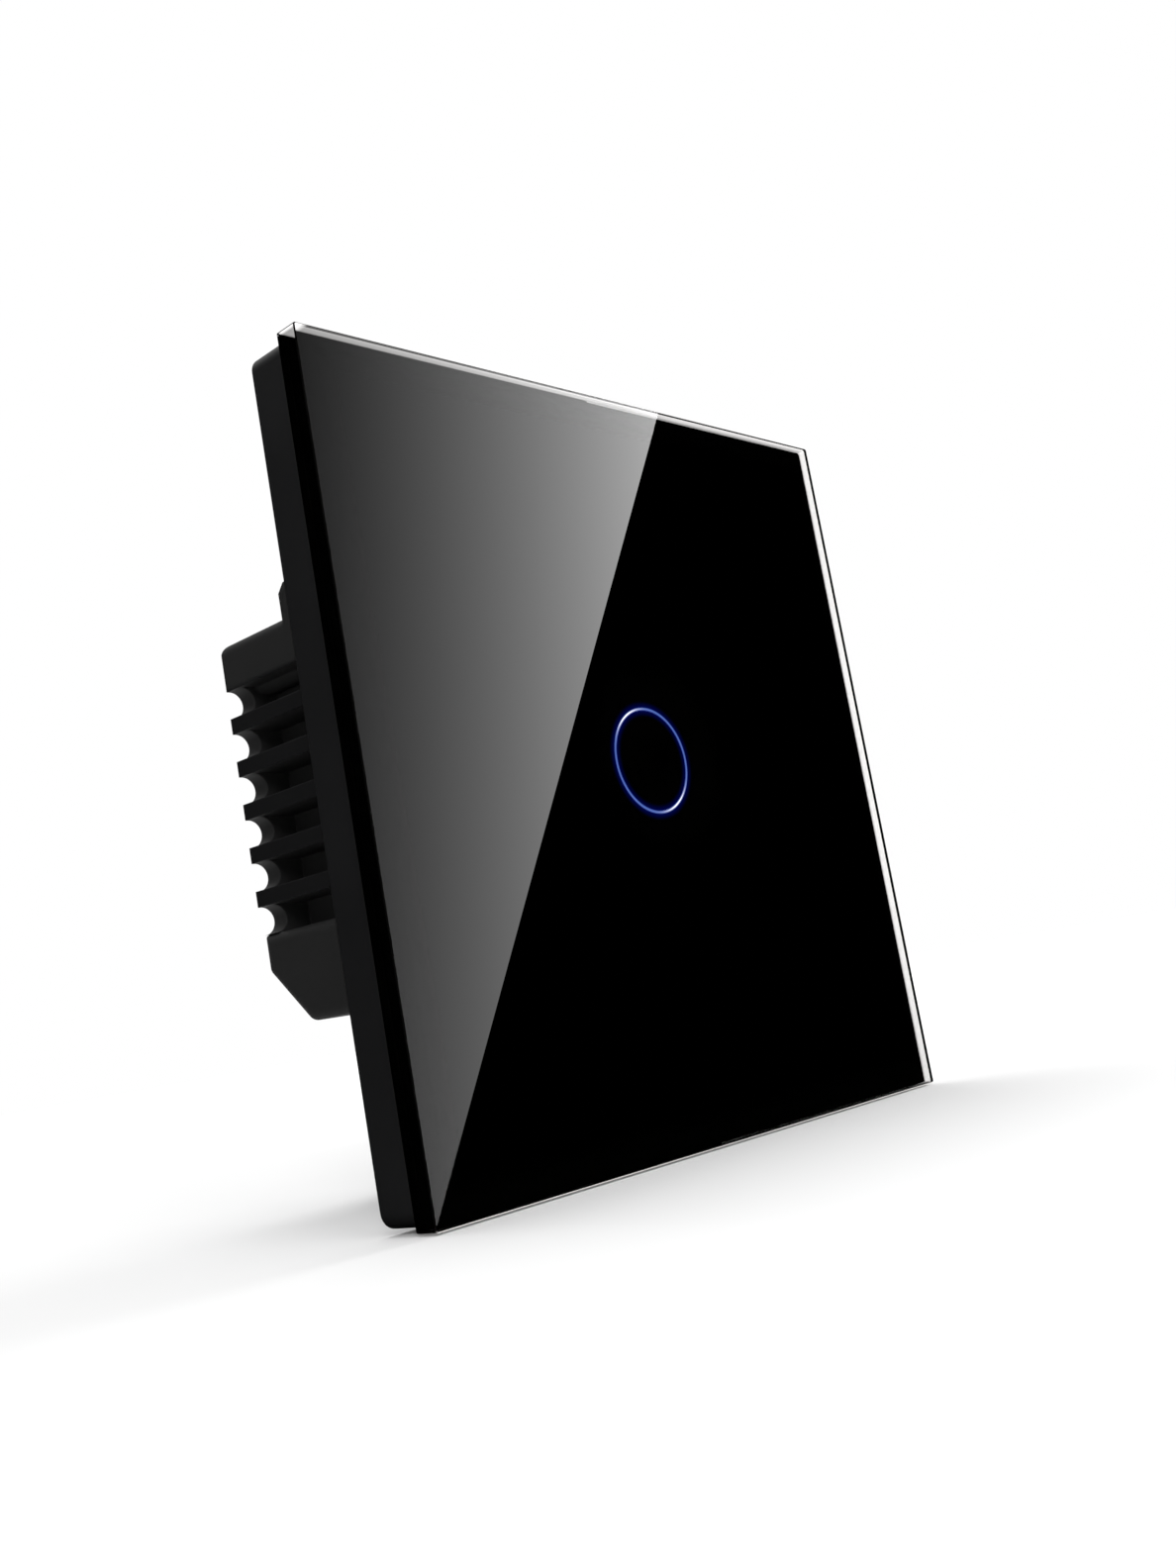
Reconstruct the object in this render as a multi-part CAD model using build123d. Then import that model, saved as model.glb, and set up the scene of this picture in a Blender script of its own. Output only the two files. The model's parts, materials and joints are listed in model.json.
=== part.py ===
"""A touch light switch for a 60 mm wall box: a lift-off glass panel over a switch module."""
from build123d import *
import math
import os

os.makedirs("parts", exist_ok=True)

# Lengths are in millimetres. The wall plane is y = 0, the front faces -Y and +Z is up.
# The origin is the centre of the square panel, in the wall plane.
# Sizes across are built outwards from the box that enters the wall: its flange, the slots beside
# it 60 mm apart, the mounting frame of 71 mm and the panel of 80 mm that covers it.

# Glass panel, its print and its tape
panel_overhang = 4.5
glass_thickness = 2.6
glass_corner = 0.3
glass_chamfer = 0.12
glass_back_chamfer = 0.08
ink_thickness = 0.1
ink_inset = 0.25
ring_radius = 5.55
ring_line = 0.36
tape_thickness = 0.2
tape_width = 5.4
tape_gap = 0.3

# Plastic frame bonded behind the glass
frame_depth = 4.5
frame_inset = 0.3
frame_corner = 1.6
frame_wall = 1.8
frame_web = 1.2
frame_border = 2.0
frame_window_corner = 3.0
rib_height = 0.2
rib_depth = 0.7
rib_setback = 0.6
pry_width = 9.0
pry_height = 1.1

# Steel mounting frame that the wall-box screws hold
plate_border = 7.1
plate_thickness = 1.2
plate_corner = 4.0
slot_offset = 1.6
slot_width = 4.0
slot_length = 7.0
screw_head_room = 5.0
window_clearance = 0.3
window_corner = 1.0

# Spring clips on the mounting frame
clip_height = 20.0
clip_length = 8.0
clip_strip = 0.3
clip_foot = 3.4
clip_rise = 1.35
clip_bulge_gap = 0.1
clip_return = 1.2
clip_lip = 0.6

# Box behind the wall plane
box_width = 47.6
box_top = 22.3
box_bottom = 20.5
box_depth = 32.9
box_wall = 1.6
box_chamfer = 6.0
box_round = 1.2
foot_round = 1.1
shoulder_rise = 3.5
shoulder_reach = 21.25
shoulder_chamfer = 1.0

# Grooves in the sides of the box
top_block = 5.3
groove_count = 6
groove_pitch = 4.86
groove_width = 3.1
groove_depth = 5.0
groove_front = 6.0
groove_wall = 1.5
groove_end_wall = 2.3
notch_depth = 1.9

# Flange and front cover of the module
flange_thickness = 1.0
flange_margin = 4.6
flange_top_margin = 2.7
flange_corner = 3.0
panel_play = 1.3
cover_margin = 1.8
cover_gap = 0.4
cover_skin = 1.1
cover_wall = 1.2
cover_corner = 2.4
rivet_radius = 1.0
rivet_head_radius = 1.2
rivet_head_height = 0.6
rivet_inset = 1.4
rivet_height = 13.5
fit_gap = 0.03

# Screws that close the module
boss_radius = 2.2
boss_inset = 2.4
boss_web = 1.2
screw_radius = 1.05
screw_head_radius = 1.8
screw_head_height = 1.0
screw_length = 9.0
screw_hole_gap = 0.1
recess_width = 0.5
recess_length = 2.2
recess_depth = 0.6

# Touch board and what it carries
board_gap = 0.3
touch_board_thickness = 1.0
led_count = 4
led_length = 1.6
led_width = 0.8
led_height = 0.6
guide_wall = 0.75
guide_flange = 0.8
guide_flange_depth = 0.4
guide_tip_gap = 0.2
guide_play = 0.1
electrode_radius = 4.1
electrode_thickness = 0.1
foam_radius = 4.0
gasket_width = 2.0
gasket_thickness = 0.25
chip_length = 9.9
chip_width = 3.9
chip_height = 1.4
chip_x = -8.0
chip_z = -6.0
leg_count = 8
leg_pitch = 1.27
leg_width = 0.42
leg_reach = 1.05
leg_thickness = 0.2
chip_standoff = 0.1
resistor_count = 8
resistor_pitch = 2.6
resistor_height = 0.45
resistor_z = 3.0
capacitor_count = 6
capacitor_pitch = 3.4
capacitor_height = 0.8
capacitor_z = 7.5
chip_part_length = 1.6
chip_part_width = 0.8

# Plug connection between the two boards
pin_count = 6
pin_pitch = 2.54
pin_side = 0.64
socket_length = 6.0
socket_hole_gap = 0.1
header_base_height = 2.6
pin_tail = 0.8
pin_tip_gap = 1.5
header_z = 15.0

# Power board
power_board_front = 8.0
power_board_thickness = 1.6
power_board_gap = 0.4
post_radius = 2.0
post_x = 14.4
post_drop = 2.7
post_screw_radius = 0.95
post_screw_length = 5.0
post_head_radius = 1.7
post_head_height = 1.1

# Terminals
terminal_count = 3
terminal_pitch = 10.0
terminal_screw_z = -11.0
terminal_head_radius = 2.5
terminal_head_height = 1.8
terminal_head_gap = 1.8
terminal_screw_radius = 1.45
terminal_slot_width = 0.7
terminal_slot_depth = 0.8
access_radius = 2.7
thread_gap = 0.05
cage_inner = 5.2
cage_wall = 0.8
cage_height = 5.0
cage_nut = 1.7
cage_travel = 2.0
cage_head_gap = 0.3
cage_side_gap = 0.25
wire_room = 3.5
wire_hole_radius = 2.0
wire_hole_lead = 0.3
contact_thickness = 1.0
contact_width = 4.8
contact_tip_gap = 0.1
contact_lip_gap = 0.8
contact_tail_width = 1.6
block_side = 2.6
block_roof = 1.7
block_floor_gap = 0.2
block_back_gap = 0.2

# Relay
relay_x = -6.5
relay_z = 9.0
relay_length = 18.5
relay_width = 10.3
relay_height = 15.0
relay_base_height = 1.2
relay_skin = 0.7
coil_x_share = 0.66
coil_radius = 3.8
coil_length = 8.6
bobbin_flange = 0.7
bobbin_hub = 2.2
winding_drop = 0.35
core_radius = 1.5
pole_radius = 2.6
pole_height = 0.5
yoke_thickness = 1.0
yoke_width = 7.0
yoke_gap = 0.25
yoke_top_gap = 0.06
armature_gap = 0.6
armature_thickness = 0.8
armature_width = 6.4
armature_reach = 9.0
leaf_thickness = 0.2
leaf_width = 3.0
leaf_overhang = 5.6
leaf_edge = 0.3
contact_radius = 1.1
contact_height = 0.6
contact_open = 1.0
contact_post_width = 2.4
contact_post_thickness = 0.8
relay_pin_radius = 0.4

# Other parts on the power board
film_x = 10.6
film_z = 11.3
film_length = 11.0
film_width = 5.0
film_height = 11.0
film_corner = 0.4
lead_spread_share = 0.8
can_x = 9.0
can_z = 3.4
can_radius = 4.0
can_height = 13.0
can_bead = 0.4
can_bead_height = 1.6
lead_radius = 0.3
part_standoff = 0.5
diode_x = -12.5
diode_z = -3.4
diode_count = 4
diode_radius = 1.2
diode_length = 4.2
lead_rise = 0.9
fuse_x = -8.0
fuse_z = 0.8
fuse_radius = 1.5
fuse_length = 8.0
fuse_cap = 1.6
fuse_cap_step = 0.15
varistor_x = 8.6
varistor_z = 17.6
varistor_radius = 2.9
varistor_thickness = 2.4
choke_x = 13.4
choke_z = -2.6
choke_radius = 2.6
choke_height = 6.0
choke_flange = 0.8
choke_hub = 1.3
choke_winding_radius = 2.1
mosfet_x = 10.0
mosfet_z = 4.0
mosfet_width = 6.5
mosfet_length = 6.1
mosfet_height = 2.3
mosfet_tab = 0.5
mosfet_tab_length = 1.2
driver_x = -8.0
driver_z = 4.0
driver_length = 4.9
overrun = 1.0

# Places along Y, from the glass back to the box
ink_back = -frame_depth
ink_front = ink_back - ink_thickness
glass_front = ink_front - glass_thickness
web_front = ink_back + tape_thickness
web_back = web_front + frame_web
plate_front = -plate_thickness
flange_front = plate_front - flange_thickness
cover_front = ink_back + cover_gap
skin_back = cover_front + cover_skin
led_front = skin_back + guide_flange_depth
board_front = led_front + led_height
board_back = board_front + touch_board_thickness
power_back = power_board_front + power_board_thickness
inner_back = box_depth - box_wall

# Places across the box
half_box = box_width / 2
flange_x = half_box + flange_margin
slot_x = flange_x + slot_offset
half_plate = flange_x + plate_border
half_panel = half_plate + panel_overhang
half_frame = half_panel - frame_inset
frame_inside = half_frame - frame_wall
inner_x = half_box - box_wall
core_x = half_box - groove_depth - groove_wall
inner_top = box_top - box_wall
inner_bottom = -box_bottom + box_wall
shoulder_top = box_top + shoulder_rise
groove_floor = half_box - groove_depth
last_groove_bottom = box_top - top_block - (groove_count - 1) * groove_pitch - groove_width
boss_x = inner_x - boss_inset
boss_places = [
    (side * boss_x, z)
    for side in (-1, 1)
    for z in (inner_top - boss_inset, inner_bottom + boss_inset)
]
flange_low = -box_bottom - flange_margin
flange_high = shoulder_top + flange_top_margin
rivet_x = flange_x - rivet_inset


def block(x0, x1, y0, y1, z0, z1):
    """A box between two values on each axis."""
    middle = ((x0 + x1) / 2, (y0 + y1) / 2, (z0 + z1) / 2)
    return Pos(*middle) * Box(x1 - x0, y1 - y0, z1 - z0)


def slab(x0, x1, z0, z1, y0, y1, corner):
    """A plate that faces the front, with rounded corners."""
    place = Plane(origin=((x0 + x1) / 2, y1, (z0 + z1) / 2), x_dir=(1, 0, 0), z_dir=(0, -1, 0))
    return extrude(place * RectangleRounded(x1 - x0, z1 - z0, corner), y1 - y0)


def rod(x, z, y0, y1, radius):
    """A cylinder along Y."""
    return Pos(x, (y0 + y1) / 2, z) * Rot(90, 0, 0) * Cylinder(radius, y1 - y0)


def rod_x(x0, x1, y, z, radius):
    """A cylinder along X."""
    return Pos((x0 + x1) / 2, y, z) * Rot(0, 90, 0) * Cylinder(radius, x1 - x0)


def rod_z(x, y, z0, z1, radius):
    """A cylinder along Z."""
    return Pos(x, y, (z0 + z1) / 2) * Cylinder(radius, z1 - z0)


def tube(x, z, y0, y1, inner, outer):
    """A round sleeve along Y."""
    return rod(x, z, y0, y1, outer) - rod(x, z, y0 - overrun, y1 + overrun, inner)


def along_x(points, x0, x1):
    """An outline in (y, z), closed and carried along X."""
    face = make_face(Polyline(*points, close=True))
    return extrude(Plane(origin=(x0, 0, 0), x_dir=(0, 1, 0), z_dir=(1, 0, 0)) * face, x1 - x0)


def save(name, shape):
    """Write one node."""
    export_step(shape, "parts/" + name + ".step")


def glass_panel():
    glass = slab(-half_panel, half_panel, -half_panel, half_panel, glass_front, ink_front, glass_corner)
    glass = chamfer(glass.faces().sort_by(Axis.Y)[0].edges(), glass_chamfer)
    return chamfer(glass.faces().sort_by(Axis.Y)[-1].edges(), glass_back_chamfer)


def ring_band(y0, y1):
    """The thin ring that lights up, at the middle of the print."""
    return tube(0, 0, y0, y1, ring_radius - ring_line / 2, ring_radius + ring_line / 2)


def printed_mask():
    half = half_panel - ink_inset
    sheet = slab(-half, half, -half, half, ink_front, ink_back, glass_corner)
    return sheet - ring_band(ink_front - overrun, ink_back + overrun)


def adhesive_tape():
    outer = half_frame - frame_border - tape_gap
    inner = outer - tape_width
    sheet = slab(-outer, outer, -outer, outer, ink_back, web_front, glass_corner)
    return sheet - slab(-inner, inner, -inner, inner, ink_back - overrun, web_front + overrun, glass_corner)


def screw_scallops(y0, y1, radius):
    """Room for the heads of the two wall-box screws."""
    return rod(-slot_x, 0, y0, y1, radius) + rod(slot_x, 0, y0, y1, radius)


def panel_frame():
    recess = half_frame - frame_border
    frame = slab(-half_frame, half_frame, -half_frame, half_frame, ink_back, 0, frame_corner)
    frame -= slab(-recess, recess, -recess, recess, ink_back - overrun, web_front, glass_corner)
    frame -= slab(-frame_inside, frame_inside, -frame_inside, frame_inside, web_back, overrun, frame_corner)
    window_x = flange_x + panel_play
    frame -= slab(
        -window_x, window_x, flange_low - panel_play, flange_high + panel_play,
        ink_back, web_back + overrun, frame_window_corner,
    )
    frame -= screw_scallops(ink_back, web_back + overrun, screw_head_room)
    for side in (-1, 1):
        for z in (-clip_height, clip_height):
            edge = sorted((side * (frame_inside - rib_height), side * (frame_inside + rib_height)))
            frame += block(
                edge[0], edge[1], -rib_setback - rib_depth, -rib_setback,
                z - clip_length / 2, z + clip_length / 2,
            )
    return frame - block(
        -pry_width / 2, pry_width / 2, -pry_height, overrun, -half_frame - overrun, -frame_inside + overrun
    )


def mounting_frame():
    plate = slab(-half_plate, half_plate, -half_plate, half_plate, plate_front, 0, plate_corner)
    plate -= slab(
        -half_box - window_clearance, half_box + window_clearance,
        -box_bottom - window_clearance, shoulder_top + window_clearance,
        plate_front - overrun, overrun, window_corner,
    )
    for side in (-1, 1):
        place = Plane(origin=(side * slot_x, overrun, 0), x_dir=(1, 0, 0), z_dir=(0, -1, 0))
        plate -= extrude(place * SlotOverall(slot_length, slot_width), plate_thickness + 2 * overrun)
    for x, z in rivet_places():
        plate -= rod(x, z, plate_front - overrun, overrun, rivet_radius + fit_gap)
    return plate


def rivet_places():
    middle = (shoulder_top - box_bottom) / 2
    return [(side * rivet_x, middle + up * rivet_height) for side in (-1, 1) for up in (-1, 1)]


def frame_rivets():
    rivets = Part()
    for x, z in rivet_places():
        rivets += rod(x, z, flange_front, 0, rivet_radius)
        head = rod(x, z, flange_front - rivet_head_height, flange_front, rivet_head_radius)
        rivets += fillet(head.edges().sort_by(Axis.Y)[0], rivet_head_height / 2)
    return rivets


def catch_spring(side, z):
    """A strip that stands on the plate, bulges out towards the frame's wall and folds back."""
    foot_y = plate_front - clip_strip / 2
    bulge_x = frame_inside - rib_height - clip_bulge_gap - clip_strip / 2
    rise_x = half_plate - clip_strip
    path = Polyline(
        (side * (rise_x - clip_foot), foot_y),
        (side * rise_x, foot_y),
        (side * (rise_x + clip_strip), foot_y - clip_rise),
        (side * bulge_x, foot_y - clip_rise + clip_lip),
        (side * (bulge_x - clip_lip), foot_y + clip_lip),
    )
    strip = trace(path, line_width=clip_strip)
    return extrude(Pos(0, 0, z - clip_length / 2) * strip, clip_length)


def catch_springs():
    springs = Part()
    for side in (-1, 1):
        for z in (-clip_height, clip_height):
            springs += catch_spring(side, z)
    return springs


def box_outline(inset, front):
    """The box seen from its side, drawn in by a wall, as points in (y, z)."""
    back = box_depth - inset
    low = -box_bottom + inset
    high = box_top - inset
    slant = box_chamfer + inset * (math.sqrt(2) - 1)
    return [
        (front, low), (box_depth - slant, low), (back, -box_bottom + slant), (back, high), (front, high)
    ]


def shoulder_outline(inset):
    """The raised step on top of the box, with its rear edge cut off on a slant."""
    high = shoulder_top - inset
    low = box_top - box_wall - overrun
    tip = shoulder_reach - inset
    return [
        (flange_front, low), (tip, low), (tip, high - shoulder_chamfer),
        (tip - shoulder_chamfer, high), (flange_front, high),
    ]


def side_grooves():
    """The cooling grooves of both sides, each closed at the back by a wall with a round notch."""
    cuts = Part()
    for index in range(groove_count):
        high = box_top - top_block - index * groove_pitch
        low = high - groove_width
        radius = groove_width / 2
        middle = (high + low) / 2
        for side in (-1, 1):
            span = sorted((side * groove_floor, side * (half_box + overrun)))
            cuts += block(span[0], span[1], groove_front, box_depth - groove_end_wall, low, high)
            root = side * (half_box - notch_depth + radius)
            mouth = sorted((root, side * (half_box + overrun)))
            cuts += rod(root, middle, groove_front, box_depth + overrun, radius)
            cuts += block(mouth[0], mouth[1], groove_front, box_depth + overrun, low, high)
    return cuts


def box_hollow():
    """The room inside the box: wide at its mouth and at its foot, narrow between the grooves."""
    profile = box_outline(box_wall, flange_front - overrun)
    narrow = along_x(profile, -core_x, core_x)
    wide = along_x(profile, -inner_x, inner_x)
    mouth = block(
        -inner_x, inner_x, flange_front - overrun, groove_front - groove_wall, inner_bottom, inner_top
    )
    foot_top = last_groove_bottom - groove_wall
    foot = wide & block(
        -inner_x, inner_x, flange_front - overrun, box_depth, inner_bottom, foot_top
    )
    step = block(
        -core_x, core_x, flange_front - overrun, shoulder_reach - box_wall,
        inner_top - overrun, shoulder_top - box_wall,
    )
    return narrow + mouth + foot + step


def screw_cross(x, z, y, facing):
    """A cross recess, cut into a head whose face lies at y."""
    span = sorted((y - facing * overrun, y + facing * recess_depth))
    half = recess_length / 2
    thin = recess_width / 2
    level = block(x - half, x + half, span[0], span[1], z - thin, z + thin)
    return level + block(x - thin, x + thin, span[0], span[1], z - half, z + half)


def post_places():
    return [(side * post_x, inner_top - post_drop) for side in (-1, 1)]


def terminal_x(index):
    return (index - (terminal_count - 1) / 2) * terminal_pitch


def outside_edges(body):
    """The edges of the box's sides and back, without those of its open front."""
    back = body.edges().filter_by(lambda edge: edge.center().Y > flange_front)
    return back.filter_by(lambda edge: (edge @ 0).Y > flange_front or (edge @ 1).Y > flange_front)


def rounded_head():
    """The box above its foot, with its top edges rounded."""
    head = along_x(box_outline(0, flange_front), -half_box, half_box)
    head &= block(-half_box, half_box, flange_front, box_depth, last_groove_bottom, box_top)
    top = outside_edges(head).group_by(Axis.Z)[-1]
    return fillet(top, box_round)


def rounded_foot():
    """The foot of the box, with the slanted corner that faces down and back, rounded all over."""
    foot = along_x(box_outline(0, flange_front), -half_box, half_box)
    foot &= block(-half_box, half_box, flange_front, box_depth, -box_bottom, last_groove_bottom)
    edges = outside_edges(foot)
    across = edges.filter_by(Axis.X).sort_by(Axis.Z)[:-1]
    along = edges.filter_by(lambda edge: abs(edge.center().X) > inner_x)
    return fillet(across + along, foot_round)


def boss_columns():
    """The four columns that take the housing screws, each tied to the side wall by a web."""
    columns = Part()
    for x, z in boss_places:
        side = math.copysign(1, x)
        columns += rod(x, z, board_back, box_depth, boss_radius)
        span = sorted((x, side * (inner_x + box_wall / 2)))
        columns += block(span[0], span[1], board_back, box_depth, z - boss_web / 2, z + boss_web / 2)
    return columns


def rear_shell():
    shell = rounded_head() + rounded_foot()
    shell += along_x(shoulder_outline(0), -half_box, half_box)
    flange = slab(
        -flange_x, flange_x, flange_low, flange_high, flange_front, plate_front, flange_corner
    )
    shell += flange - screw_scallops(flange_front - overrun, overrun, screw_head_room)
    shell -= box_hollow()
    shell -= side_grooves()
    shell += boss_columns() & along_x(box_outline(box_wall / 2, flange_front), -half_box, half_box)
    for x, z in boss_places:
        tip = skin_back + screw_length + overrun
        shell -= rod(x, z, board_back - overrun, tip, screw_radius + fit_gap)
    for x, z in post_places():
        shell += rod(x, z, power_back, inner_back + overrun, post_radius)
        depth = power_back + post_screw_length + overrun
        shell -= rod(x, z, power_back - overrun, depth, post_screw_radius + fit_gap)
    for x, z in rivet_places():
        shell -= rod(x, z, flange_front - overrun, overrun, rivet_radius + fit_gap)
    for index in range(terminal_count):
        x = terminal_x(index)
        shell -= rod(x, terminal_screw_z, inner_back - overrun, box_depth + overrun, access_radius)
        opening = wire_hole_radius + wire_hole_lead
        shell -= rod_z(x, wire_y, -box_bottom - overrun, inner_bottom + overrun, opening)
    return shell


def front_cover():
    outer_x = half_box + cover_margin
    low = -box_bottom - cover_margin
    high = box_top + cover_margin
    cover = slab(-outer_x, outer_x, low, high, cover_front, flange_front, cover_corner)
    cover -= block(
        -outer_x + cover_wall, outer_x - cover_wall, skin_back, flange_front + overrun,
        low + cover_wall, high - cover_wall,
    )
    for x, z in boss_places:
        cover += rod(x, z, skin_back, board_front, boss_radius)
        cover -= rod(x, z, cover_front - overrun, board_front + overrun, screw_radius + screw_hole_gap)
        cover -= rod(x, z, cover_front - overrun, skin_back, screw_head_radius + screw_hole_gap)
    reach = ring_radius + guide_wall + guide_play
    return cover - rod(0, 0, cover_front - overrun, skin_back + overrun, reach)


def housing_screws():
    screws = Part()
    head_front = skin_back - screw_head_height
    for x, z in boss_places:
        head = rod(x, z, head_front, skin_back, screw_head_radius)
        head = fillet(head.edges().sort_by(Axis.Y)[0], screw_head_height / 3)
        screw = head + rod(x, z, skin_back, skin_back + screw_length, screw_radius)
        screws += screw - screw_cross(x, z, head_front, 1)
    return screws


def foam_gasket():
    inner = ring_radius + guide_wall + guide_flange
    return tube(0, 0, cover_front - gasket_thickness, cover_front, inner, inner + gasket_width)


def ring_light_guide():
    inner = ring_radius - guide_wall
    outer = ring_radius + guide_wall
    tip = ink_back + guide_tip_gap
    flange = tube(0, 0, skin_back, led_front, inner, outer + guide_flange)
    return tube(0, 0, tip, skin_back, inner, outer) + flange


def touch_board():
    board = block(
        -inner_x + board_gap, inner_x - board_gap, board_front, board_back,
        inner_bottom + board_gap, inner_top - board_gap,
    )
    for x, z in boss_places:
        board -= rod(x, z, board_front - overrun, board_back + overrun, screw_radius + screw_hole_gap)
    return board


def touch_electrode():
    return rod(0, 0, board_front - electrode_thickness, board_front, electrode_radius)


def sensing_foam():
    return rod(0, 0, ink_back + guide_tip_gap, board_front - electrode_thickness, foam_radius)


def indicator_leds():
    lamps = Part()
    for index in range(led_count):
        lamp = block(
            ring_radius - led_width / 2, ring_radius + led_width / 2, led_front, board_front,
            -led_length / 2, led_length / 2,
        )
        lamps += Rot(0, 360 / led_count * index, 0) * lamp
    return lamps


def chip(x, z, y, facing, length, legs):
    """A small surface-mounted circuit with legs along two sides, on a board face at y."""
    base = y + facing * chip_standoff
    span = sorted((base, base + facing * chip_height))
    body = block(x - length / 2, x + length / 2, span[0], span[1], z - chip_width / 2, z + chip_width / 2)
    half = chip_width / 2
    for index in range(legs):
        leg_x = x + (index - (legs - 1) / 2) * leg_pitch
        for side in (-1, 1):
            foot = sorted((y, y + facing * leg_thickness))
            reach = sorted((z + side * (half - leg_thickness), z + side * (half + leg_reach)))
            body += block(
                leg_x - leg_width / 2, leg_x + leg_width / 2, foot[0], foot[1], reach[0], reach[1]
            )
    return body


def touch_chip():
    return chip(chip_x, chip_z, board_back, 1, chip_length, leg_count)


def control_chip():
    return chip(driver_x, driver_z, power_board_front, -1, driver_length, leg_count // 2)


def chip_row(count, pitch, z, height):
    """A row of small two-ended parts on the back of the touch board."""
    row = Part()
    for index in range(count):
        x = (index - (count - 1) / 2) * pitch
        row += block(
            x - chip_part_length / 2, x + chip_part_length / 2, board_back, board_back + height,
            z - chip_part_width / 2, z + chip_part_width / 2,
        )
    return row


def pin_places():
    return [(index - (pin_count - 1) / 2) * pin_pitch for index in range(pin_count)]


def pin_row(y0, y1, side):
    """Square pins, or the holes for them, along the plug connection."""
    row = Part()
    for x in pin_places():
        row += block(x - side / 2, x + side / 2, y0, y1, header_z - side / 2, header_z + side / 2)
    return row


def header_body(y0, y1, hole):
    half = pin_count * pin_pitch / 2
    body = block(-half, half, y0, y1, header_z - pin_pitch / 2, header_z + pin_pitch / 2)
    return body - pin_row(y0 - overrun, y1 + overrun, hole)


def header_socket():
    return header_body(board_back, board_back + socket_length, pin_side + 2 * socket_hole_gap)


def header_base():
    return header_body(power_board_front - header_base_height, power_board_front, pin_side)


def header_pins():
    return pin_row(board_back + pin_tip_gap, power_back + pin_tail, pin_side)


def power_board():
    board = block(
        -core_x + power_board_gap, core_x - power_board_gap, power_board_front, power_back,
        inner_bottom + power_board_gap, inner_top - power_board_gap,
    )
    front = power_board_front - overrun
    back = power_back + overrun
    for x, z in post_places():
        board -= rod(x, z, front, back, post_screw_radius + screw_hole_gap)
    for x, z in relay_pin_places():
        board -= rod(x, z, front, back, relay_pin_radius + fit_gap)
    return board - pin_row(front, back, pin_side) - contact_tails()


def board_screws():
    screws = Part()
    for x, z in post_places():
        head_front = power_board_front - post_head_height
        head = rod(x, z, head_front, power_board_front, post_head_radius)
        head = fillet(head.edges().sort_by(Axis.Y)[0], post_head_height / 3)
        shank = rod(x, z, power_board_front, power_back + post_screw_length, post_screw_radius)
        screws += head + shank - screw_cross(x, z, head_front, 1)
    return screws


# Places inside the terminals, worked forward from the screw heads
head_back = inner_back - terminal_head_gap
head_front = head_back - terminal_head_height
nut_back = head_front - cage_head_gap - cage_travel
nut_front = nut_back - cage_nut
contact_back = nut_front - cage_travel
contact_front = contact_back - contact_thickness
bar_back = contact_front - wire_room
bar_front = bar_back - cage_wall
wire_y = (contact_front + bar_back) / 2
cage_low = terminal_screw_z - cage_height / 2
cage_high = terminal_screw_z + cage_height / 2
cage_outer = cage_inner + 2 * cage_wall
pocket_half = cage_outer / 2 + cage_side_gap
pocket_low = cage_low - cage_side_gap
pocket_high = cage_high + cage_side_gap
block_top = pocket_high + block_roof
block_low = inner_bottom + block_floor_gap
block_half = terminal_pitch * (terminal_count - 1) / 2 + pocket_half + block_side


def terminal_block():
    body = block(-block_half, block_half, power_back, head_back, block_low, block_top)
    body &= along_x(box_outline(box_wall + block_back_gap, power_back), -block_half, block_half)
    for index in range(terminal_count):
        x = terminal_x(index)
        body -= block(
            x - pocket_half, x + pocket_half, bar_front - cage_side_gap, head_back + overrun,
            pocket_low, pocket_high,
        )
        body -= rod_z(x, wire_y, block_low - overrun, terminal_screw_z, wire_hole_radius)
        body -= block(
            x - contact_width / 2, x + contact_width / 2, contact_front, contact_back,
            pocket_high - overrun, block_top + overrun,
        )
    return body


def contact_tails():
    """The flat tails of the three terminals, where they pass through the power board."""
    tails = Part()
    for index in range(terminal_count):
        x = terminal_x(index)
        tails += block(
            x - contact_tail_width / 2, x + contact_tail_width / 2,
            power_board_front - pin_tail, power_back, block_top, block_top + contact_thickness,
        )
    return tails


def terminal_contact(index):
    x = terminal_x(index)
    half = contact_width / 2
    upright = block(x - half, x + half, contact_front, contact_back, pocket_low, block_top)
    arm = block(x - half, x + half, power_back, contact_back, block_top, block_top + contact_thickness)
    tail = block(
        x - contact_tail_width / 2, x + contact_tail_width / 2,
        power_board_front - pin_tail, power_back, block_top, block_top + contact_thickness,
    )
    return upright + arm + tail


def terminal_screw(index):
    x = terminal_x(index)
    head = rod(x, terminal_screw_z, head_front, head_back, terminal_head_radius)
    head = fillet(head.edges().sort_by(Axis.Y)[-1], terminal_head_height / 4)
    slot = block(
        x - terminal_head_radius - overrun, x + terminal_head_radius + overrun,
        head_back - terminal_slot_depth, head_back + overrun,
        terminal_screw_z - terminal_slot_width / 2, terminal_screw_z + terminal_slot_width / 2,
    )
    shank = rod(x, terminal_screw_z, contact_back + contact_tip_gap, head_front, terminal_screw_radius)
    return head - slot + shank


def terminal_cage(index):
    x = terminal_x(index)
    outer = cage_outer / 2
    inner = cage_inner / 2
    cage = block(x - outer, x + outer, bar_front, nut_back, cage_low, cage_high)
    cage -= block(x - inner, x + inner, bar_back, nut_front, cage_low - overrun, cage_high + overrun)
    return cage - rod(
        x, terminal_screw_z, nut_front - overrun, nut_back + overrun, terminal_screw_radius + thread_gap
    )


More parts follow.
